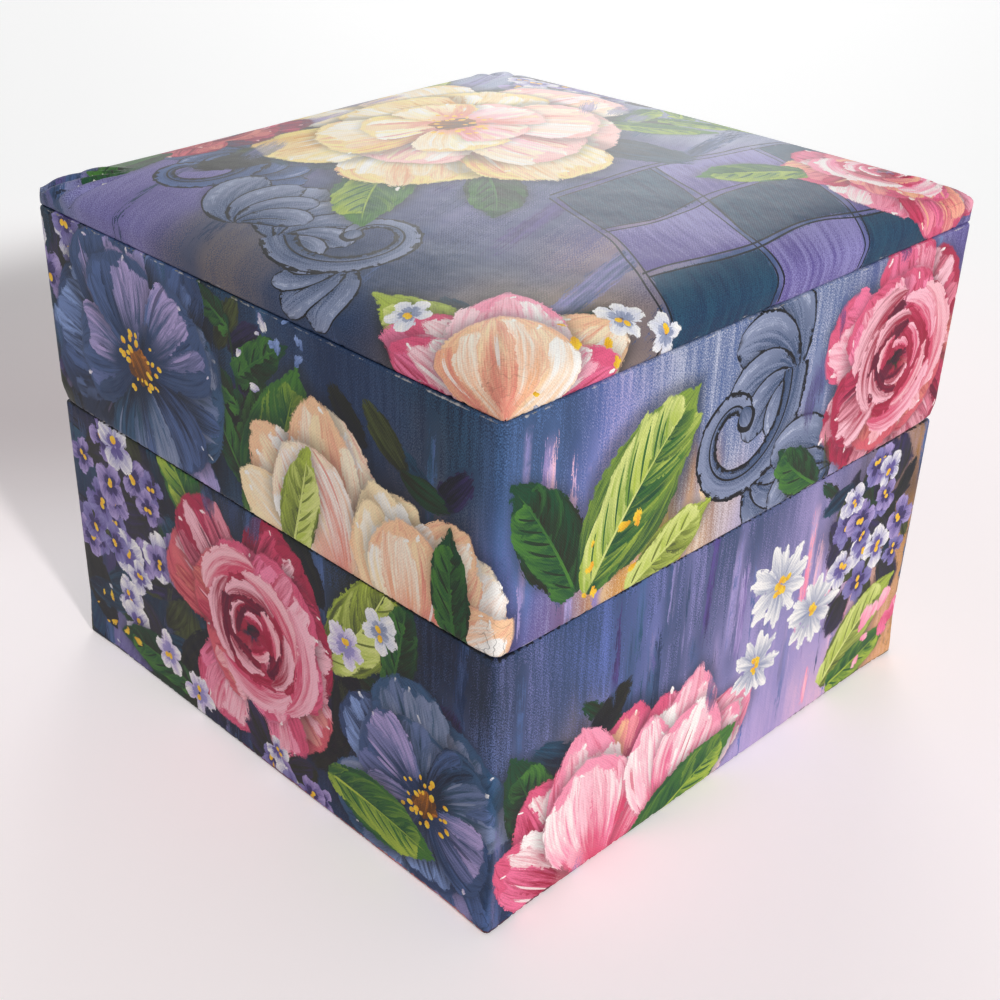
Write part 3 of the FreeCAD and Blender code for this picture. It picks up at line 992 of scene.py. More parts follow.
LID_RIGHT = [
    (field, (-45, 28), 10, 11, SLATE, AZURE),
    (field, (-46, 15), 7, 12, AZURE, PERIWINKLE),
    (field, (-40, 4), 10, 12, VIOLET, LAVENDER),
    (field, (-30, 20), 9, 14, PERIWINKLE, LILAC),
    (field, (-20, 3), 15, 12, OCHRE, CREAM, 1.6),
    (field, (0, 22), 26, 20, STEEL, PEARL, 1.3),
    (field, (8, 4), 18, 14, MIST, LILAC, 1.2),
    (field, (44, 10), 22, 30, VIOLET, LAVENDER),
    (bands, (-48, 0), (18, 32), ROSY_STREAKS + STREAKS, 12, 3.0),
    (bands, (-30, 0), (20, 14), [(PEACH, CREAM), (OCHRE, BUTTER), (MIST, BLUSH)], 12),
    (bands, (-14, 10), (64, 22), HAZY_STREAKS, 14),
    (scroll, (-5, 17), 13.5, SLATES, 0.4, -1),
    (plume, (20, 2), 2.1, 18, 1, SLATES, 4),
    (thicket, (36, 12), 30, 28, 12),
    (leaf, (-36, 4), 2.0, 24, 12, DARK_GREENS),
    (leaf, (-34, 3), 1.0, 31, 19, SUNNY_GREENS),
    (leaf, (-26, 0), 0.4, 19, 9, LIMES),
    (rose, (34, 15), 21, LIT_ROSE_PETALS),
    (scumble, (34, 15), 20, [(DEEP_VIOLET, VIOLET), (OLIVE_BLACK, OLIVE)]),
    (leaf, (17, 0), 2.6, 15, 8, DARK_GREENS),
    (dabs, (-28, 6), 7, [(OCHRE, YELLOW), (ORANGE, YELLOW)], 8, 2.2),
]
LID_BACK_LEFT = [
    (field, (-30, 20), 28, 24, SLATE, LAVENDER),
    (field, (30, 10), 28, 24, DEEP_NAVY, TEAL),
    (bands, (-50, 0), (100, 32), STREAKS, 40),
    (thicket, (-14, 14), 56, 30),
    (spray, (-8, 4), 0.6, 34, GREENS, 6, 15),
    (leaf, (-30, 4), 2.6, 26, 13, LIMES),
    (bloom, (-18, 15), 22, BUTTER_PETALS, 7, 3),
    (cluster, (40, 8), 24, 22, LILACS, 16, 8),
    (scroll, (20, 18), 10, SLATES, 2.4, 1),
]
LID_BACK_RIGHT = [
    (field, (-34, 10), 26, 30, VIOLET, LAVENDER),
    (field, (10, 20), 26, 24, TEAL, STEEL),
    (field, (46, 10), 16, 30, DEEP_NAVY, SLATE),
    (bands, (-50, 0), (100, 32), STREAKS + ROSY_STREAKS, 40),
    (thicket, (4, 14), 70, 30),
    (tulip, (-26, -4), 1.75, 30, PINK_PETALS),
    (leaf, (-12, 0), 1.2, 28, 13, GREENS),
    (bloom, (14, 16), 21, VIOLET_PETALS, 6, 2),
    (leaf, (32, 2), 0.9, 26, 12, DARK_GREENS),
    (daisy, (38, 22), 6.5),
    (daisy, (45, 12), 6.5),
    (daisy, (33, 10), 6.5),
]
BASE_LEFT = [
    (field, (-32, 28), 28, 30, SHADE, DEEP_VIOLET),
    (field, (8, 42), 20, 14, OLIVE_BLACK, SLATE),
    (field, (40, 34), 14, 18, DEEP_NAVY, SLATE),
    (field, (49, 34), 5, 12, OLIVE_BLACK, STEEL),
    (field, (49, 12), 5, 20, NAVY, AZURE),
    (bands, (-50, 0), (96, 44), STREAKS, 30),
    (thicket, (-26, 20), 60, 44, 30),
    (thicket, (24, 20), 50, 40, 24),
    (leaf, (-10, 34), 2.3, 24, 11, GREENS),
    (leaf, (16, 28), 0.75, 27, 13, LIMES),
    (leaf, (30, 30), 1.3, 18, 8, DARK_GREENS),
    (cluster, (-35, 26), 30, 34, LILACS, 26, 8.5),
    (rose, (-1, 24), 23, LIT_ROSE_PETALS),
    (scumble, (-1, 24), 22, [(OLIVE_BLACK, OLIVE), (NAVY, STEEL)]),
    (leaf, (-18, 4), 2.9, 22, 10, DARK_GREENS),
    (bloom, (37, 15), 21, BLUE_PETALS, 7, 2),
    (leaf, (16, 8), 0.0, 24, 12, GREENS),
    (floret, (-25, 8), 8.5, WHITES, 5),
    (floret, (-17, 4), 8.5, WHITES, 5),
    (floret, (21, 33), 8.5, WHITES, 5),
    (floret, (28, 39), 8.5, WHITES, 5),
    (cluster, (10, 2), 20, 8, LILACS, 7, 7),
    (dabs, (-42, 6), 8, [(OCHRE, YELLOW), (MIST, WHITE)], 12, 2.0),
]
BASE_RIGHT = [
    (field, (-46, 34), 9, 14, SLATE, LAVENDER),
    (field, (-46, 12), 9, 22, NAVY, AZURE),
    (field, (-28, 36), 16, 14, SLATE, PERIWINKLE),
    (field, (-34, 22), 8, 10, TAN, LILAC, 0.7),
    (field, (-4, 36), 18, 18, SLATE, LAVENDER),
    (field, (14, 12), 22, 26, LAVENDER, LILAC),
    (field, (28, 4), 14, 20, LILAC, BLUSH),
    (field, (46, 14), 12, 30, OCHRE, PEACH),
    (bands, (-50, 0), (44, 44), STREAKS, 26, 3.0),
    (bands, (-8, 0), (48, 40), ROSY_STREAKS, 26, 3.0),
    (bands, (6, 0), (30, 30), [(PINK, BLUSH), (STEEL, PERIWINKLE)], 8, 2.4),
    (thicket, (-24, 12), 34, 28, 24),
    (thicket, (36, 34), 30, 24, 22),
    (leaf, (-34, 6), 2.2, 26, 12, DARK_GREENS),
    (tulip, (-27, -5), 1.8, 32, PINK_PETALS),
    (tulip, (-13, -3), 1.2, 28, PINK_PETALS),
    (scumble, (-20, 14), 18, [(SLATE, STEEL), (VIOLET, LAVENDER)], 6),
    (leaf, (-22, -4), 0.35, 30, 12, GREENS),
    (daisy, (12, 30), 8.5),
    (daisy, (22, 21), 7.5),
    (daisy, (8, 17), 6.5),
    (cluster, (37, 31), 24, 24, LILACS, 18, 8),
    (leaf, (28, 3), 0.85, 24, 11, LIMES),
    (leaf, (30, 2), 0.15, 18, 8, GREENS),
    (dabs, (42, 10), 7, [(ROSE, PINK), (PINK, BLUSH)], 12, 4.5),
]
BASE_BACK_LEFT = [
    (field, (-36, 20), 20, 40, LAVENDER, LILAC),
    (field, (10, 30), 36, 24, NAVY, TEAL),
    (bands, (-50, 0), (100, 44), STREAKS + ROSY_STREAKS, 50),
    (checks, (8, -4), (21, -5), (4, 13), 3, 4),
    (thicket, (-18, 18), 54, 40, 28),
    (leaf, (-34, 8), 2.4, 26, 12, GREENS),
    (leaf, (-2, 28), 0.9, 26, 13, LIMES),
    (rose, (-18, 22), 22, PINK_PETALS),
    (cluster, (14, 10), 24, 18, LILACS, 14, 8),
    (leaf, (-30, 2), 0.3, 22, 10, DARK_GREENS),
]
BASE_BACK_RIGHT = [
    (field, (-30, 30), 30, 26, DEEP_NAVY, STEEL),
    (field, (36, 14), 26, 34, VIOLET, LAVENDER),
    (bands, (-50, 0), (100, 44), STREAKS, 50),
    (thicket, (-4, 18), 70, 40, 32),
    (spray, (-38, 6), 1.3, 36, DARK_GREENS, 6, 16),
    (tulip, (-24, -2), 1.8, 34, CREAM_PETALS),
    (tulip, (-9, -4), 1.2, 30, CREAM_PETALS),
    (bloom, (22, 26), 20, BLUE_PETALS, 6, 2),
    (leaf, (4, 2), 0.6, 28, 13, GREENS),
    (floret, (40, 10), 8.5, WHITES + LILACS, 5),
    (floret, (46, 20), 8.5, WHITES + LILACS, 5),
    (floret, (34, 6), 8.5, WHITES + LILACS, 5),
    (floret, (28, 4), 8.5, WHITES + LILACS, 5),
]
TOP = [
    (field, (-36, -14), 20, 26, NAVY, SLATE),
    (field, (-12, -14), 18, 14, SLATE, LAVENDER),
    (field, (26, -36), 34, 18, VIOLET, LAVENDER),
    (field, (-34, 36), 22, 18, VIOLET, LAVENDER),
    (field, (-52, 52), 10, 10, SLATE, MIST, 1.4),
    (field, (36, 34), 24, 24, STEEL, PEARL, 1.3),
    (field, (48, 4), 14, 34, MIST, PEARL, 1.5),
    (field, (-42, -44), 17, 14, TAN, SAND, 0.8),
    (field, (10, -44), 20, 8, SLATE, AZURE),
    (field, (-46, 6), 10, 14, SLATE, TAN, 0.8),
    (field, (-10, -34), 12, 10, VIOLET, SAND, 0.7),
    (bands, (-54, -54), (108, 108), STREAKS, 24, 6, 0.3),
    (checks, (-24, -56), (21, -1), (6, 13), 4, 3),
    (scroll, (-34, -8), 12, SLATES, 2.2, 1),
    (scroll, (-33, 32), 11, DIM_SLATES, 0.2, -1),
    (plume, (-42, 10), 1.3, 18, -1, SLATES, 4),
    (thicket, (8, 20), 58, 50, 34),
    (spray, (24, 4), -0.35, 30, GREENS, 6, 16),
    (leaf, (-12, 10), 3.6, 26, 13, GREENS),
    (leaf, (-6, -2), 4.2, 20, 10, DARK_GREENS),
    (leaf, (22, 40), 0.9, 24, 12, LIMES),
    (cluster, (42, 24), 22, 30, LILACS, 16, 8),
    (bloom, (8, 19), 31, BUTTER_PETALS, 7, 3),
    (scumble, (8, 19), 30, [(SLATE, LAVENDER), (VIOLET, LILAC)], 9, 0.4),
    (rose, (-17, 51), 16, ROSE_PETALS),
    (leaf, (-29, 46), 3.5, 19, 9, DARK_GREENS),
    (rose, (43, -38), 16, PINK_PETALS),
    (leaf, (31, -32), 2.5, 18, 9, GREENS),
    (thicket, (-45, -45), 18, 18, 14),
    (leaf, (-55, -50), 0.15, 29, 11, DARK_GREENS),
    (leaf, (-50, -55), 1.5, 28, 11, GREENS),
    (leaf, (-52, -50), 1.1, 30, 12, LIMES),
    (tulip, (-56, -56), 0.72, 31, PINK_PETALS + CREAM_PETALS[:1]),
    (floret, (-27, -47), 7, WHITES[0], 5),
    (floret, (-45, -29), 7, WHITES[0], 5),
    (floret, (-22, -51), 7, WHITES[0], 5),
    (dabs, (-38, -48), 9, [(OCHRE, YELLOW), (MIST, WHITE)], 8, 2.0),
]

# The sides in the order they are painted, and the thin lines at the foot of the base.
LID_SIDES = {"back_left": LID_BACK_LEFT, "back_right": LID_BACK_RIGHT, "left": LID_LEFT,
             "right": LID_RIGHT}
BASE_SIDES = {"back_left": BASE_BACK_LEFT, "back_right": BASE_BACK_RIGHT, "left": BASE_LEFT,
              "right": BASE_RIGHT}
FOOT_LINES = [("left", -50, -4, SHADE, OLIVE_BLACK), ("left", -6, 50, WINE, SALMON),
              ("right", -50, -36, INK, WINE), ("right", 20, 50, OLIVE_BLACK, OLIVE),
              ("back_left", -50, 50, SHADE, UMBER), ("back_right", -50, 50, SHADE, OLIVE_BLACK)]
FOOT_UP, RIM_SHADE_OVER, RIM_SHADE_HALF = 0.2, 0.15, 49  # heights of the foot lines and of the painted shade line on the rim, and half the rim line's length
LID_SEED, BASE_SEED, TOP_SEED, RIM_SHADE_SEED, FOOT_SEED = 11, 23, 37, 7, 90


def fold_line(sheet, origin, start, stop, height, low, high, seed):
    """A thin line laid along a fold of the paper, running between two colours."""
    x = np.linspace(start, stop, 2 + int((stop - start) * 1.2))
    line = origin + np.stack([x, np.full(len(x), height)], 1)
    widths = 0.36 + 0.14 * drift(line, 6.0, seed) + 0.06 * drift(line, 1.7, seed + 1)
    sheet.lay(line, widths.clip(0.08), low, high, tone=(0.1, 0.9), streak=0.9, ragged=0.15,
              grit=0.6, cover=0.9)


def paint_sides(sheet, wrap, sides, seed):
    for i, (name, steps) in enumerate(sides.items()):
        sheet.paint(wrap.origin(name), steps, seed + i)


def paint_lid(sheet, wrap):
    paint_sides(sheet, wrap, LID_SIDES, LID_SEED)


def paint_base(sheet, wrap):
    """The base's sides, with a thin line along their foot, and painted shade: a dark line along the
    rim, where the seam under the lid is in shadow.
    """
    paint_sides(sheet, wrap, BASE_SIDES, BASE_SEED)
    for name, start, stop, low, high in FOOT_LINES:
        fold_line(sheet, wrap.origin(name), start, stop, FOOT_UP, low, high, start + FOOT_SEED)
    # Painted shade: a dark line along the rim of each side, where the seam under the lid is in
    # shadow.
    for name in wrap.SIDES:
        fold_line(sheet, wrap.origin(name), -RIM_SHADE_HALF, RIM_SHADE_HALF, BASE_WALL + RIM_SHADE_OVER, INK, SHADE,
                  RIM_SHADE_SEED)


def pleat_shade_lines(sheet, cover):
    """Painted shade: a dark line laid deep in each pleat at the cover's corners."""
    for name, signs in BOX_CORNERS.items():
        for degrees, deep, _ in PLEATS[name]:
            reach = np.linspace(13.0 - 9 * deep, 15.5, 14)
            angle = np.radians(degrees + 3 * np.sin(reach * 0.9 + degrees))
            line = cover.flat - PLEAT_ROOT + directions(angle) * reach[:, None]
            line = np.minimum(line, cover.brow + 1.2) * signs
            widths = np.linspace(0.3, 1, 14) ** 0.6 * (0.08 + 0.3 * deep)
            sheet.lay(line, widths, INK, SHADE, streak=0.5, ragged=0.18, start=5.0,
                      cover=min(1.0, 1.35 * deep))


# ---------------------------------------------------------------- folding and stretching


def folded_path(points, radii):
    """A section line through points, each inner one rounded with its radius."""
    points = np.array(points, float)
    line = [points[0]]
    for before, here, after, radius in zip(points, points[1:], points[2:], radii):
        back = (before - here) / np.hypot(*(before - here))
        on = (after - here) / np.hypot(*(after - here))
        middle = (here + back * radius) + (here + on * radius) - here
        for step in range(ARC_STEPS + 1):
            angle = step / ARC_STEPS * math.pi / 2
            line.append(middle - on * radius * math.cos(angle) - back * radius * math.sin(angle))
    line.append(points[-1])
    return np.array(line)


class Wrap:
    """A strip of paper round four walls. x runs round the box, y runs up the wall."""

    SIDES = {"back_left": 0, "left": 1, "right": 2, "back_right": 3}

    def __init__(self, half, path, corner, rubbed):
        self.half, self.path, self.corner, self.rubbed = half, path, corner, rubbed
        run = distances(path)
        wall = np.flatnonzero(path[:, 0] < 1e-9)[0]
        self.wall_height = np.ptp(path[:, 1])
        self.run = run - run[wall] + path[wall, 1] - path[:, 1].min()
        self.flat = half - corner
        self.side_length = 2 * self.flat + corner * math.pi / 2

    def origin(self, name):
        """The middle of a side on the sheet, at its lower fold."""
        return np.array([(self.SIDES[name] + 0.5) * self.side_length, 0])

    def corners(self):
        """The flat sheet: a strip as long as the four sides."""
        low, high, long = self.run[0], self.run[-1], 4 * self.side_length
        return [(0, low), (long, low), (long, high), (0, high)]

    def grid(self):
        """Grid points: close together round the corners, at every fold and up the outside."""
        turn = self.corner * np.linspace(0, math.pi / 4, 4)
        flat = np.linspace(-self.flat, self.flat, int(2 * self.flat / GRID) + 1)
        one = np.concatenate([-self.flat - turn[:0:-1], flat, self.flat + turn[1:]])
        columns = np.concatenate([(k + 0.5) * self.side_length + one for k in range(4)])
        fine = np.arange(-FINE_OVER, self.wall_height + FINE_OVER, GRID)
        below = np.arange(self.run[0], -FINE_OVER, HIDDEN_GRID)
        above = np.arange(self.wall_height + HIDDEN_FROM, self.run[-1], HIDDEN_GRID)
        rows = np.concatenate([self.run, fine, below, above])
        return grid_points(np.unique(columns.round(5))[1:-1], np.unique(rows.round(5))[1:-1])

    def corner_gap(self, flat):
        """How far each point is from the nearest upright corner."""
        half_side = self.side_length / 2
        return np.abs((flat[:, 0] + half_side) % self.side_length - half_side)

    def creased(self, flat):
        """How crumpled the paper is, from 0 to 1: most low down at the upright corners."""
        up = flat[:, 1]
        foot = smooth(1.2 - np.abs(up - CREASE_FOOT_UP) / CREASE_FOOT)
        top = smooth(1.2 - np.abs(up - self.wall_height + CREASE_TOP_DOWN) / CREASE_TOP)
        side = smooth(1.25 - self.corner_gap(flat) / CREASE_SIDE)
        return side * np.maximum(foot, CREASE_TOP_SHARE * top)

    def wear_and_highlight(self, flat):
        """How much a point is rubbed, from 0 to 1: most at the folds and upright corners. On the lid
        the pale fold lines are also a painted highlight.
        """
        folds = np.array([RUBBED_UP, self.wall_height - RUBBED_DOWN])
        edges = bell(flat[:, 1, None] - folds, RUBBED_WIDE) * self.rubbed
        corner = CORNER_RUBBED * bell(self.corner_gap(flat), CORNER_RUBBED_WIDE)
        return np.maximum(edges.max(1), corner)

    def place(self, flat):
        """Folds points of the flat sheet round the box."""
        side = np.clip(np.floor(flat[:, 0] / self.side_length), 0, 3)
        x = flat[:, 0] - (side + 0.5) * self.side_length
        inset = np.interp(flat[:, 1], self.run, self.path[:, 0])
        height = np.interp(flat[:, 1], self.run, self.path[:, 1])
        radius = np.maximum(self.corner - inset, INNER_CORNER)
        straight = self.half - inset - radius
        angle = np.clip((np.abs(x) - self.flat) / self.corner, 0, math.pi / 4)
        sideways = np.clip(x, -self.flat, self.flat) * straight / self.flat
        sideways += np.sign(x) * radius * np.sin(angle)
        out = straight + radius * np.cos(angle)
        turn = side * math.pi / 2
        return np.stack([
            -out * np.sin(turn) - sideways * np.cos(turn),
            out * np.cos(turn) - sideways * np.sin(turn),
            height,
        ], 1)


def lid_section():
    """From the ceiling down inside the lid's wall, round its rim, up outside, onto its top."""
    low, high = LID_LOW[2], LID_HIGH[2]
    points = [(RIM, CEILING), (RIM, low), (0, low), (0, high), (FLAP, high)]
    return folded_path(points, LID_FOLDS)


def base_section():
    """From under the base outwards, up its wall, over its rim and down inside."""
    low, high = BASE_LOW[2], BASE_HIGH[2]
    points = [(FLAP, low), (0, low), (0, high), (RIM, high), (RIM, high - BASE_TURN_IN)]
    return folded_path(points, BASE_FOLDS)


def rounded(spot, half, radius):
    """Points of a square with its corners rounded, without folding it over."""
    over = np.clip((np.abs(spot) - half + radius) / radius, 0, 1)
    a, b = over[..., 0], over[..., 1]
    eased = np.stack([a * np.sqrt(1 - b * b / 2), b * np.sqrt(1 - a * a / 2)], -1)
    both = (over > 0).all(-1)[..., None]
    return np.where(both, np.sign(spot) * (half - radius + radius * eased), spot)


class Cover:
    """The paper over the padding: a crowned square whose edges turn down and under."""

    def __init__(self):
        angle = np.linspace(0, math.pi / 2, SHOULDER_POINTS)
        run, drop = SHOULDER_RUN * np.sin(angle), SHOULDER_RISE * (1 - np.cos(angle))
        self.shoulder_run, self.shoulder_length = run, distances(np.stack([run, drop], 1))
        self.flat = COVER_HALF - SHOULDER_RUN
        self.brow = self.flat + self.shoulder_length[-1]  # where it meets the upright edge
        wall = PAD_EDGE - PAD_EDGE_RADIUS
        turn = PAD_EDGE_RADIUS * math.pi / 2
        self.wall_run = np.array([0, wall, wall + turn / 3, wall + turn * 2 / 3, wall + turn,
                                  wall + turn + FLAP - PAD_EDGE_RADIUS])
        thirds = math.pi / 6 * np.array([1, 2, 3])
        self.wall_in = np.array([0, 0, *PAD_EDGE_RADIUS * (1 - np.cos(thirds)), FLAP])
        self.wall_drop = np.array([0, wall, *(wall + PAD_EDGE_RADIUS * np.sin(thirds)), PAD_EDGE])
        self.end = self.brow + self.wall_run[-1]
        self.moves = None

    def corners(self):
        """The flat sheet: a square with its corners cut out."""
        brow, end = self.brow, self.end
        return [(brow, -brow), (end, -brow), (end, brow), (brow, brow), (brow, end), (-brow, end),
                (-brow, brow), (-end, brow), (-end, -brow), (-brow, -brow), (-brow, -end),
                (brow, -end)]

    def grid(self):
        """Grid points: fine where the cover shows, and rows at its folds."""
        shown = np.linspace(-self.brow, self.brow, int(2 * self.brow / GRID) + 1)
        edge = self.brow + np.concatenate([self.wall_run[:-1], EDGE_ROWS])
        edge = np.unique(edge.round(5))
        hidden = self.brow + self.wall_run[-2] + UNDER_ROWS
        across = np.concatenate([-hidden, -edge, shown, edge, hidden])
        points = grid_points(across, across)
        points = points[(np.abs(points) <= self.brow + 1e-6).any(1)]
        gathered = (np.abs(points) > self.flat - GATHERED).all(1)
        rim = (np.abs(points) > self.brow - 0.1).any(1)
        close = np.arange(self.flat - GATHERED, self.brow, CORNER_GRID)
        close = np.concatenate([-close, close])
        return np.concatenate([points[~gathered | rim], grid_points(close, close)])

    def creased(self, flat):
        """How crumpled the paper is, from 0 to 1: most at its corners."""
        share = np.zeros(len(flat))
        for name, signs in BOX_CORNERS.items():
            gap = lengths(flat * signs - self.brow + CRUMPLED_IN)
            share += CRUMPLED[name] * smooth(1.25 - gap / CRUMPLED_WIDE)
        return share

    def wear_and_highlight(self, flat):
        """How much a point is rubbed: most at the fold under the edge, and at the corners."""
        far = np.abs(flat)
        fold_gap = np.abs(far.max(1) - self.brow - self.wall_run[1])
        return np.maximum(COVER_RUBBED * bell(fold_gap, COVER_RUBBED_WIDE),
                          TIP_RUBBED * bell(lengths(far - self.brow), TIP_RUBBED_WIDE))

    def place(self, flat):
        """Points of the flat sheet where it lies over the padding, as the paper has settled."""
        spots = self.stretched(flat)
        if self.moves is not None:
            spots = spots + self.moved(flat)
        depth = self.gathers(flat)
        spots[:, 2] += self.ears(flat) - depth * PLEAT_DEPTH
        spots[:, :2] *= (1 - PLEAT_PULL * depth / COVER_HALF)[:, None]
        return spots

    def moved(self, flat):
        """How far the settling moves points, smoothed between the coarse sheet's points."""
        last = len(self.moves) - 1
        cell = (np.clip(flat, -self.brow, self.brow) / self.brow + 1) / 2 * last
        knot = np.round(cell).astype(int)
        part = cell - knot
        weights = [0.5 * (0.5 - part) ** 2, 0.75 - part ** 2, 0.5 * (0.5 + part) ** 2]
        move = 0.0
        for i, across in enumerate(weights):
            for j, up in enumerate(weights):
                column = np.clip(knot[:, 0] + i - 1, 0, last)
                row = np.clip(knot[:, 1] + j - 1, 0, last)
                move = move + (across[:, 0] * up[:, 1])[:, None] * self.moves[row, column]
        return move

    def gathers(self, flat):
        """Depth of the pleats that gather the paper in at the corners."""
        depth = np.zeros(len(flat))
        for name, signs in BOX_CORNERS.items():
            off = flat * signs - self.flat + PLEAT_ROOT
            angle = np.degrees(np.arctan2(off[:, 1], off[:, 0]))
            near = smooth((lengths(off) - PLEAT_START) / PLEAT_GROWTH) * (off > 0).all(1)
            edge = smooth((self.brow + PAD_EDGE * 0.6 - np.abs(flat).max(1)) / PLEAT_FADE)
            for degrees, deep, wide in PLEATS[name]:
                fold = bell(angle - degrees, wide)
                ridge = bell(angle - degrees - wide * RIDGE_ASIDE, wide)
                depth += near * edge * deep * (fold - RIDGE_SHARE * ridge)
        return depth

    def ears(self, flat):
        """The folded tips that stand up at the corners, each with a dip inside it."""
        lift = np.zeros(len(flat))
        for name, signs in BOX_CORNERS.items():
            gap = lengths(np.minimum(flat * signs, self.brow) - self.brow)
            edge = smooth(1 - (np.abs(flat).max(1) - self.brow) / EAR_FADE)
            shape = bell(gap, EAR_WIDE) - DIP_SHARE * bell(gap - DIP_IN, DIP_WIDE)
            lift += EARS[name] * edge * shape
        return lift

    def stretched(self, flat):
        """Points of the flat sheet drawn smoothly over the padding."""
        far = np.abs(flat)
        lap = np.clip(far - self.brow, 0, None)
        inner = np.minimum(far, self.brow)
        run = np.interp(inner - self.flat, self.shoulder_length, self.shoulder_run)
        out = np.minimum(inner, self.flat) + np.where(inner > self.flat, run, 0)
        spot = np.sign(flat) * out
        share = np.clip((out - self.flat) / SHOULDER_RUN, 0, 1)
        drop = np.sqrt(1 - share ** 2)
        full = np.zeros(len(flat))
        for name, signs in BOX_CORNERS.items():
            full[(flat * signs > 0).all(1)] = FULLNESS[name]
        rise = SHOULDER_RISE * drop.prod(1) ** (1 - full) * drop.min(1) ** full
        rise += PAD_CROWN * np.clip(1 - (out / COVER_HALF) ** 2, 0, 1).prod(1)
        beyond = lap.max(1)
        height = COVER_LOW[2] + PAD_EDGE + rise * self.slack(spot)
        height -= np.interp(beyond, self.wall_run, self.wall_drop)
        spot *= (1 - np.interp(beyond, self.wall_run, self.wall_in) / COVER_HALF)[:, None]
        return np.concatenate([rounded(spot, COVER_HALF, PAD_CORNER), height[:, None]], 1)

    def slack(self, spot):
        """How thick the padding is: thinner towards the left and back."""
        share = 1
        for way, reach, start, thin in THIN_PADDING:
            share = share - thin * smooth((spot @ np.array(way)) / reach + start)
        return share


def settle(cover):
    """Cloth simulation: the flat paper, glued down round its edge, buckles over the padding.

    It runs on a coarse sheet in tenths of a metre for millimetres, and keeps each point's move.
    """
    line = np.linspace(-cover.brow, cover.brow, SETTLE_POINTS)
    flat = grid_points(line, line)
    draped = cover.stretched(flat)
    held = np.abs(flat).max(1) > cover.brow - SETTLE_HELD
    faces = quads(np.arange(len(flat)).reshape(SETTLE_POINTS, SETTLE_POINTS))
    scene = bpy.context.scene

    under = (draped - (0, 0, SETTLE_GAP)) * SETTLE_SCALE
    padding = mesh_object("settling_padding", under, faces, None)
    padding.modifiers.new("Collision", "COLLISION")
    padding.collision.thickness_outer = SETTLE_CLEARANCE
    sheet = mesh_object("settling_sheet", raised(flat) * SETTLE_SCALE, faces, None)
    sheet.shape_key_add(name="Basis")
    start = sheet.shape_key_add(name="draped")
    start.data.foreach_set("co", (draped * MM * SETTLE_SCALE).astype(np.float32).ravel())
    start.value = 1
    glued = sheet.vertex_groups.new(name="glued")
    glued.add(np.flatnonzero(held).tolist(), 1.0, "REPLACE")
    cloth = sheet.modifiers.new("Cloth", "CLOTH")
    set_all(cloth.settings, SETTLE_CLOTH)
    cloth.settings.rest_shape_key = sheet.data.shape_keys.key_blocks["Basis"]
    cloth.settings.effector_weights.gravity = 0
    cloth.collision_settings.distance_min = SETTLE_CLEARANCE
    for step in range(1, SETTLE_STEPS + 1):
        scene.frame_set(step)
    settled = sheet.evaluated_get(bpy.context.evaluated_depsgraph_get()).data
    places = np.empty(len(flat) * 3, np.float32)
    settled.vertices.foreach_get("co", places)
    scene.frame_set(1)
    for piece in (padding, sheet):
        bpy.data.objects.remove(piece)
    moves = places.reshape(-1, 3) / (MM * SETTLE_SCALE) - draped
    ease = smooth((cover.brow - np.abs(flat).max(1)) / SETTLE_EASE)[:, None]
    moves = SETTLE_REACH * np.tanh(moves / SETTLE_REACH) * ease
    return moves.reshape(SETTLE_POINTS, SETTLE_POINTS, 3)


def crushed(points):
    """Knocks in the lid's lower corners, and bows its rim up a little beside them."""
    spots = points.copy()
    for name, signs in BOX_CORNERS.items():
        depth, lift = CRUSHED[name]
        out = np.array(signs) / math.sqrt(2)
        along = points[:, :2] @ out
        above = points[:, 2] - LID_LOW[2]
        share = smooth((along - CRUSH_START) / (CRUSH_END - CRUSH_START))
        spots[:, :2] -= (depth * share * smooth(1 - above / CRUSH_TALL))[:, None] * out
        near = smooth((along - CRUSH_START + BOW_BACK) / BOW_LONG)
        spots[:, 2] += lift * near * smooth(1 - above / BOW_TALL)
    return spots


def splayed(points):
    """Spreads the foot of the base a little at its corners, where the fold stands proud."""
    along = np.abs(points[:, :2]).sum(1) / math.sqrt(2)
    share = smooth((along - CRUSH_START + SPLAY_BACK) / SPLAY_LONG)
    share *= smooth(1 - points[:, 2] / SPLAY_TALL)
    spots = points.copy()
    spots[:, :2] *= (1 + SPLAY / CRUSH_END * share)[:, None]
    return spots


# ---------------------------------------------------------------- meshes

# What the material reads at each face corner, out of the table of paint.
PAINT_LAYERS = (("paint_low", "FLOAT_COLOR", LOW), ("paint_high", "FLOAT_COLOR", HIGH),
                ("paint_under", "FLOAT_COLOR", UNDER), ("stroke", "FLOAT_VECTOR", STROKE),
                ("lay", "FLOAT_VECTOR", [TONE, STREAK, LAY]), ("grit", "FLOAT", GRIT))


def raised(flat, height=0.0):
    """Flat points with a height."""
    return np.concatenate([flat, np.full((len(flat), 1), height)], 1)


def quads(index):
    """Faces between neighbours in a grid of point numbers."""
    faces = np.stack([index[:-1, :-1], index[:-1, 1:], index[1:, 1:], index[1:, :-1]], -1)
    return faces.reshape(-1, 4)


def set_all(thing, values):
    for name, value in values.items():
        setattr(thing, name, value)


def mesh_object(name, points, faces, material):
    mesh = bpy.data.meshes.new(name)
    mesh.vertices.add(len(points))
    mesh.vertices.foreach_set("co", (points * MM).astype(np.float32).ravel())
    mesh.loops.add(faces.size)
    mesh.loops.foreach_set("vertex_index", faces.astype(np.int32).ravel())
    mesh.polygons.add(len(faces))
    mesh.polygons.foreach_set("loop_start", np.arange(len(faces), dtype=np.int32) * faces.shape[1])
    mesh.update(calc_edges=True)
    mesh.shade_smooth()
    if material:
        mesh.materials.append(material)
    piece = bpy.data.objects.new(name, mesh)
    bpy.context.scene.collection.objects.link(piece)
    return piece


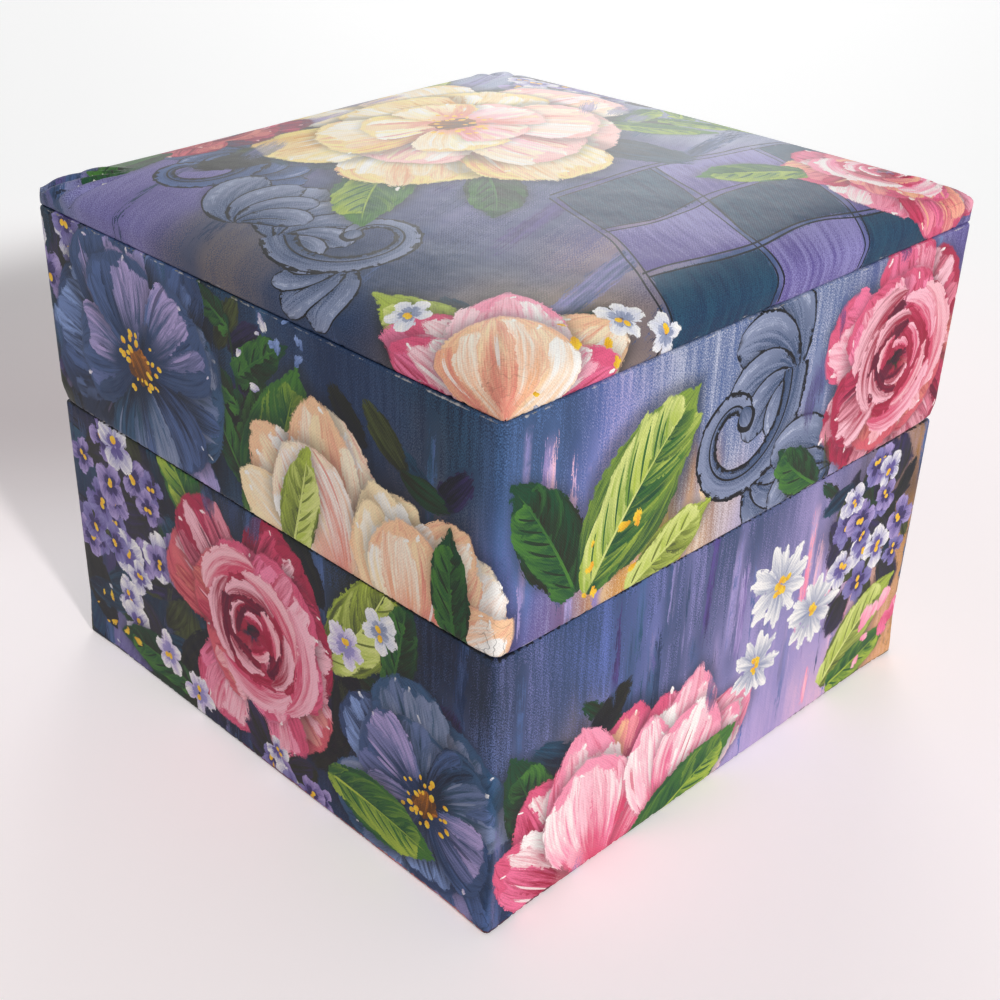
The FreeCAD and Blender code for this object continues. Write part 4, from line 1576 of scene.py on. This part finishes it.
def store(piece, name, kind, domain, values):
    """Keeps a value for each point or face corner, for the material to read."""
    layer = piece.data.attributes.new(name, kind, domain)
    if kind == "FLOAT_COLOR":
        values = raised(values, 1.0)
    field = {"FLOAT_COLOR": "color", "FLOAT_VECTOR": "vector", "FLOAT": "value"}[kind]
    layer.data.foreach_set(field, values.astype(np.float32).ravel())


def printed_piece(node, sheet, shape, place, body):
    """Cuts, colours and folds a sheet, and sets it in for its CAD node."""
    points, faces, middle = sheet.cut(shape.grid())
    paint = sheet.colour(points, faces, middle)
    piece = mesh_object(node + "_print", place(points), faces, PRINT)
    for name, kind, columns in PAINT_LAYERS:
        store(piece, name, kind, "CORNER", paint[:, columns])
    store(piece, "wear_and_highlight", "FLOAT", "POINT", shape.wear_and_highlight(points))
    store(piece, "creased", "FLOAT", "POINT", shape.creased(points))
    store(piece, "paper", "FLOAT_VECTOR", "POINT", raised(points))
    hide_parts(node)
    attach(piece, body)
    return piece


# ---------------------------------------------------------------- materials


class Nodes:
    """The node tree of a material or world, with short ways to add what these looks use."""

    def __init__(self, owner, shader="Principled BSDF"):
        owner.use_nodes = True
        self.owner, self.tree = owner, owner.node_tree
        self.shader = self.tree.nodes[shader]

    def add(self, kind, feeds=None, **settings):
        node = self.tree.nodes.new(kind)
        set_all(node, settings)
        for key, value in (feeds or {}).items():
            self.feed(node.inputs[key], value)
        return node

    def feed(self, socket, value):
        if isinstance(value, bpy.types.NodeSocket):
            self.tree.links.new(value, socket)
        else:
            socket.default_value = value

    def surface(self, **values):
        """Feeds the shader. An input's name has _ for each space."""
        for name, value in values.items():
            self.feed(self.shader.inputs[name.replace("_", " ")], value)

    def attribute(self, name, output="Vector"):
        return self.add("ShaderNodeAttribute", attribute_name=name).outputs[output]

    def math(self, operation, a, b=0.0, c=0.0):
        return self.add("ShaderNodeMath", {0: a, 1: b, 2: c}, operation=operation).outputs[0]

    def vector_math(self, operation, a, b=(0, 0, 0), output="Vector"):
        node = self.add("ShaderNodeVectorMath", {0: a, 1: b}, operation=operation)
        return node.outputs[output]

    def noise(self, vector, scale=1.0, detail=2.0, roughness=0.5):
        feeds = {"Vector": vector, "Scale": scale, "Detail": detail, "Roughness": roughness}
        return self.add("ShaderNodeTexNoise", feeds).outputs["Fac"]

    def span(self, value, low, high, to_low=0.0, to_high=1.0, smooth_step=False):
        feeds = {0: value, 1: low, 2: high, 3: to_low, 4: to_high}
        kind = "SMOOTHSTEP" if smooth_step else "LINEAR"
        return self.add("ShaderNodeMapRange", feeds, interpolation_type=kind).outputs[0]

    def mix(self, share, a, b, blend="MIX"):
        node = self.add("ShaderNodeMix", {0: share, 6: a, 7: b}, data_type="RGBA",
                        blend_type=blend)
        return node.outputs[2]

    def dimmed(self, colour, share):
        grey = self.add("ShaderNodeCombineXYZ", {0: share, 1: share, 2: share}).outputs[0]
        return self.mix(1.0, colour, grey, "MULTIPLY")

    def bump(self, height, strength, distance, normal=None):
        feeds = {"Height": height, "Strength": strength, "Distance": distance}
        if normal:
            feeds["Normal"] = normal
        return self.add("ShaderNodeBump", feeds).outputs[0]


def printed_paper(name):
    """Satin printed paper: paint in bristle streaks over a canvas grain, rubbed at the folds, with a
    painted highlight along the lid's folds and painted shade in its creases.
    """
    n = Nodes(bpy.data.materials.new(name))
    stroke = n.attribute("stroke")
    lay = n.add("ShaderNodeSeparateXYZ", {0: n.attribute("lay")})
    tone, streak, cover = lay.outputs[0], lay.outputs[1], lay.outputs[2]
    grit, wear_and_highlight = n.attribute("grit", "Fac"), n.attribute("wear_and_highlight", "Fac")
    paper = n.attribute("paper")
    flat = n.add("ShaderNodeSeparateXYZ", {0: paper})
    wobble = n.noise(paper, 0.8, 2.0)
    warp = n.math("MULTIPLY", wobble, 2.5)
    thread_x, thread_y = (n.math("SINE", n.math("MULTIPLY_ADD", flat.outputs[i], TURN / THREAD,
                                                warp)) for i in (0, 1))
    weave = n.math("MULTIPLY_ADD", n.math("MULTIPLY", thread_x, thread_y), 0.5, 0.5)
    coarse = n.noise(n.vector_math("MULTIPLY", stroke, (0.09, 1.25, 7.31)), 1.0, 3.0, 0.55)
    fine = n.noise(n.vector_math("MULTIPLY", stroke, (0.36, 5.4, 3.17)), 1.0, 2.0, 0.5)
    grain = n.noise(paper, 3.4, 3.0, 0.6)
    speck = n.noise(n.vector_math("MULTIPLY", paper, (1.0, 0.8, 1.0)), 5.2, 2.0, 0.6)

    # Bristle streaks and canvas specks sway each mark between its two colours.
    bristles = n.math("MULTIPLY_ADD", fine, 0.25, n.math("MULTIPLY", coarse, 0.75))
    bristles = n.span(bristles, 0.3, 0.7, -1.0, 1.0)
    pull = n.math("MULTIPLY", bristles, n.math("MULTIPLY", streak, 0.55))
    specks = n.math("MULTIPLY_ADD", weave, 0.06, speck)
    specks = n.math("MULTIPLY", n.span(specks, 0.36, 0.7, -1.0, 1.0), grit)
    share = n.math("MULTIPLY_ADD", specks, 0.42, n.math("ADD", tone, pull))
    share = n.span(share, 0.0, 1.0, smooth_step=True)
    colour = n.mix(share, n.attribute("paint_low", "Color"), n.attribute("paint_high", "Color"))

    # Where the paint is laid thin, the colour under it shows through.
    rough_edge = n.math("MULTIPLY_ADD", grain, 0.35, n.math("MULTIPLY", fine, 0.65))
    rough_edge = n.span(rough_edge, 0.32, 0.68, 0.08, 0.85)
    gap = n.math("SUBTRACT", cover, rough_edge)
    shown = n.span(gap, -0.07, 0.09, smooth_step=True)
    colour = n.mix(shown, n.attribute("paint_under", "Color"), colour)
    dust = n.span(n.math("MULTIPLY_ADD", weave, 0.3, grain), 0.3, 1.0, 0.84, 1.2)
    colour = n.dimmed(colour, dust)

    # Paper fibre shows in chips and hairlines where the folds are rubbed. Along the lid's folds these
    # pale lines are also a painted highlight.
    chips = n.noise(paper, 0.35, 5.0, 0.75)
    rubbed = n.math("ADD", n.span(chips, 0.3, 0.7, -0.8, 0.4), wear_and_highlight)
    rubbed = n.span(rubbed, 0.84, 1.2, 0.0, 0.6)
    colour = n.mix(rubbed, colour, (*FIBRE_AND_HIGHLIGHT, 1))

    # Painted shade: fine wandering dark lines where the paper is crumpled, with a bump along them.
    wrinkle = n.noise(paper, 0.42, 1.5, 0.4)
    line = n.math("ABSOLUTE", n.math("SUBTRACT", wrinkle, 0.5))
    line = n.math("MULTIPLY", n.span(line, 0.004, 0.02, 1.0, 0.0), n.attribute("creased", "Fac"))
    colour = n.mix(n.math("MULTIPLY", line, 0.55), colour, (*CREASE_SHADE, 1))
    n.surface(Base_Color=colour, Roughness=n.span(grain, 0.3, 0.7, 0.34, 0.48),
              Specular_IOR_Level=0.2)
    cockle = n.noise(paper, 0.16, 2.0)
    normal = None
    for height, strength, distance in ((cockle, 0.35, 0.0006), (weave, 0.3, 0.00004),
                                       (grain, 0.25, 0.00005), (rubbed, 0.5, 0.0001),
                                       (line, -0.6, 0.0002)):
        normal = n.bump(height, strength, distance, normal)
    n.surface(Normal=normal)
    return n.owner


def fibrous(name, base, fleck, scale, roughness, relief):
    """Unprinted paper or board: a base colour with flecks and short fibres."""
    n = Nodes(bpy.data.materials.new(name))
    place = n.add("ShaderNodeTexCoord").outputs["Object"]
    cloud = n.noise(place, scale * 0.12, 3.0)
    fibre = n.noise(n.vector_math("MULTIPLY", place, (1.0, 0.25, 0.6)), scale, 4.0, 0.65)
    share = n.math("MULTIPLY", n.span(fibre, 0.52, 0.72, smooth_step=True), 0.7)
    colour = n.dimmed(n.mix(share, (*base, 1), (*fleck, 1)), n.span(cloud, 0.3, 0.7, 0.93, 1.05))
    n.surface(Base_Color=colour, Normal=n.bump(fibre, 0.4, relief),
              Roughness=n.span(fibre, 0.3, 0.7, roughness - 0.06, roughness + 0.06))
    return n.owner


# ---------------------------------------------------------------- pieces


def build_wrap(node, wrap, paint, body, knocked):
    sheet = Sheet(wrap.corners(), Ground(NAVY, SLATE))
    paint(sheet, wrap)
    printed_piece(node, sheet, wrap, lambda flat: knocked(wrap.place(flat)), body)


def build_cover(cover):
    sheet = Sheet(cover.corners(), Ground(NAVY, SLATE, 0.3, 0.45))
    sheet.paint((0.0, 0.0), TOP, TOP_SEED)
    # Painted shade in the pleats at the cover's corners.
    pleat_shade_lines(sheet, cover)
    piece = printed_piece("top_cover", sheet, cover, cover.place, "lid")


def closed_slab(name, upper, lower, material):
    """A closed solid between two grids of points that share their rim's plan."""
    rows, columns = upper.shape[:2]
    index = np.arange(rows * columns).reshape(rows, columns)
    top = quads(index)
    rim = np.concatenate([index[0, :-1], index[:-1, -1], index[-1, :0:-1], index[:0:-1, 0]])
    after = np.roll(rim, -1)
    shift = rows * columns
    walls = np.stack([rim, rim + shift, after + shift, after], 1)
    faces = np.concatenate([top, top[:, ::-1] + shift, walls])
    points = np.concatenate([upper.reshape(-1, 3), lower.reshape(-1, 3)])
    return mesh_object(name, points, faces, material)


def build_foam(cover):
    """The padding: it fills the cover down to its board."""
    line = np.linspace(-cover.brow, cover.brow, FOAM_POINTS)
    upper = cover.place(grid_points(line, line)).reshape(FOAM_POINTS, FOAM_POINTS, 3)
    inner = 1 - FOAM_GAP / COVER_HALF
    upper = upper * (inner, inner, 1) - (0, 0, FOAM_GAP)
    lower = upper.copy()
    lower[..., 2] = BOARD_HIGH
    piece = closed_slab("foam_pad", upper, lower, FOAM_STUFF)
    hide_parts("pad_foam")
    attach(piece, "lid")


def build_lid_board():
    """The lid's tray of board, crushed at its lower corners as the paper over it is."""
    (half, _, top), rim = corners("lid_tray")[1], corners("lid_tray")[0][2]
    thick = top - CEILING
    section = [(half, CEILING), (thick, CEILING), (thick, CEILING - 1),
               (thick, rim + CRUSH_TALL), (thick, rim + 2), (thick, rim), (0, rim), (0, rim + 2),
               (0, rim + CRUSH_TALL), (0, top), (half, top)]
    inset, height = np.array(section).T
    close = np.linspace(0.975, 1, BOARD_CLOSE_POINTS)
    steps = np.concatenate([-close[::-1], np.linspace(-0.95, 0.95, BOARD_POINTS), close])
    one = np.stack([steps, np.ones(len(steps))], 1)[:-1]
    around = np.concatenate([one @ np.array([[math.cos(a), math.sin(a)], [-math.sin(a), math.cos(a)]])
                             for a in np.arange(4) * math.pi / 2])
    reach = half - inset
    flat = around[None] * reach[:, None, None]
    radius = np.maximum(CORNER - PAPER - inset, 0.1)
    flat = rounded(flat, reach[:, None, None], radius[:, None, None])
    points = np.concatenate([flat, np.broadcast_to(height[:, None, None], flat[..., :1].shape)], -1)
    index = np.arange(points.shape[0] * points.shape[1]).reshape(points.shape[:2])
    on = np.roll(index, -1, 1)
    faces = np.stack([index[:-1], index[1:], on[1:], on[:-1]], -1).reshape(-1, 4)
    piece = mesh_object("lid_board", crushed(points.reshape(-1, 3)), faces, BOARD_STUFF)
    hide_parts("lid_tray")
    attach(piece, "lid")


PRINT = printed_paper("printed paper")
BOARD_STUFF = fibrous("greyboard", tint("8f8a80"), tint("5f5b52"), 900, 0.85, 0.0002)
LINING_STUFF = fibrous("lining paper", tint("ece6da"), tint("d9cfbd"), 1400, 0.75, 0.0001)
UNDER_STUFF = fibrous("underside paper", tint("e2dccf"), tint("cfc6b2"), 1200, 0.8, 0.0001)
FOAM_STUFF = fibrous("foam", tint("f0ede2"), tint("d8d3c0"), 2500, 0.95, 0.0003)

build_wrap("base_wrap", Wrap(BASE_HALF, base_section(), BASE_CORNER, BASE_RUBBED), paint_base,
           "base", splayed)
build_wrap("lid_wrap", Wrap(LID_HALF, lid_section(), CORNER, LID_WEAR_AND_HIGHLIGHT), paint_lid,
           "lid", crushed)
COVER = Cover()
COVER.moves = settle(COVER)
build_cover(COVER)
build_foam(COVER)
build_lid_board()

for node, stuff in (("base_tray", BOARD_STUFF), ("neck", BOARD_STUFF), ("pad_board", BOARD_STUFF),
                    ("neck_lining", LINING_STUFF), ("floor_lining", LINING_STUFF),
                    ("ceiling_lining", LINING_STUFF), ("underside_sheet", UNDER_STUFF)):
    for material_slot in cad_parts[node].material_slots:
        material_slot.material = stuff

# ---------------------------------------------------------------- floor, light and camera

FLOOR_HALF = 3000  # millimetres
FLOOR_BOUNCE_PINK = (0.9, 0.81, 0.82, 1)  # painted bounce light: pink from the box, beside it
FLOOR_PALE = (0.81, 0.81, 0.81, 1)
BOUNCE_NEAR, BOUNCE_FAR = 0.12, 0.3  # metres from the box's middle

# The floor looks paler to the camera than it lights the box, apart from the box's shadow.
SHADOW = (0.01, 0.16, 0)  # its middle
SHADE_NEAR, SHADE_FAR = 0.035, 0.11  # metres from that middle, from no lift to all of it
FLOOR_LIFT = 0.26

WORLD_LIGHT, WORLD_SEEN = 0.42, 0.93  # how bright the world lights the box, and looks

# Distant lamps: where each shines towards, its strength, and how wide it is in degrees.
LAMPS = {
    "window": ((0.187, 0.88, -0.412), 1.76, 4.5),
    "back window": ((-0.7, -0.6, -0.33), 0.62, 28),
}

# The camera, fitted to the box's corners in the photo.
CAMERA_PLACE = (-159.6, -154.9, 155.7)
CAMERA_TURN = (-43.273, 30.212, 0.506)  # azimuth, elevation and roll, in degrees
LENS = {"sensor_width": 36, "lens": 55.03, "shift_x": 0.0678, "shift_y": 0.0114,
        "clip_start": 0.01}


def make_floor():
    n = Nodes(bpy.data.materials.new("floor"))
    place = n.add("ShaderNodeTexCoord").outputs["Object"]
    away = n.vector_math("LENGTH", place, output="Value")
    # Painted bounce light: the floor is pinker near the box and paler away from it.
    pale = n.span(away, BOUNCE_NEAR, BOUNCE_FAR, smooth_step=True)
    gap = n.vector_math("DISTANCE", place, SHADOW, "Value")
    lift = n.span(gap, SHADE_NEAR, SHADE_FAR, smooth_step=True)
    seen = n.add("ShaderNodeLightPath").outputs["Is Camera Ray"]
    lift = n.math("MULTIPLY", lift, n.math("MULTIPLY", seen, FLOOR_LIFT))
    n.surface(Base_Color=n.mix(pale, FLOOR_BOUNCE_PINK, FLOOR_PALE), Roughness=0.6,
              Emission_Color=(1, 1, 1, 1), Emission_Strength=lift)
    square = FLOOR_HALF * np.array([(-1, -1), (1, -1), (1, 1), (-1, 1)])
    floor = mesh_object("floor", raised(square), np.array([(0, 1, 2, 3)]), n.owner)


def make_world():
    """Even white light, dimmer as it lights the box than as it is seen or mirrored."""
    world = bpy.data.worlds.new("studio")
    bpy.context.scene.world = world
    n = Nodes(world, "Background")
    path = n.add("ShaderNodeLightPath").outputs
    seen = n.math("MAXIMUM", path["Is Camera Ray"], path["Is Glossy Ray"])
    n.surface(Color=(1, 1, 1, 1), Strength=n.span(seen, 0.0, 1.0, WORLD_LIGHT, WORLD_SEEN))


def make_lamps():
    for name, (towards, strength, width) in LAMPS.items():
        light = bpy.data.lights.new(name, "SUN")
        light.energy, light.angle = strength, math.radians(width)
        lamp = bpy.data.objects.new(name, light)
        lamp.rotation_euler = Vector(towards).to_track_quat("-Z", "Y").to_euler()
        bpy.context.scene.collection.objects.link(lamp)


def make_camera():
    azimuth, elevation, roll = (math.radians(angle) for angle in CAMERA_TURN)
    back = Vector((math.sin(azimuth) * math.cos(elevation),
                   -math.cos(azimuth) * math.cos(elevation), math.sin(elevation)))
    right = Vector((math.cos(azimuth), math.sin(azimuth), 0))
    up = back.cross(right)
    tilted_right = math.cos(roll) * right + math.sin(roll) * up
    tilted_up = math.cos(roll) * up - math.sin(roll) * right
    data = bpy.data.cameras.new("camera")
    set_all(data, LENS)
    camera = bpy.data.objects.new("camera", data)
    turn = Matrix((tilted_right, tilted_up, back)).transposed()
    camera.matrix_world = Matrix.Translation(Vector(CAMERA_PLACE) * MM) @ turn.to_4x4()
    bpy.context.scene.collection.objects.link(camera)
    bpy.context.scene.camera = camera


make_floor()
make_world()
make_lamps()
make_camera()
bpy.context.scene.view_settings.view_transform = "Standard"
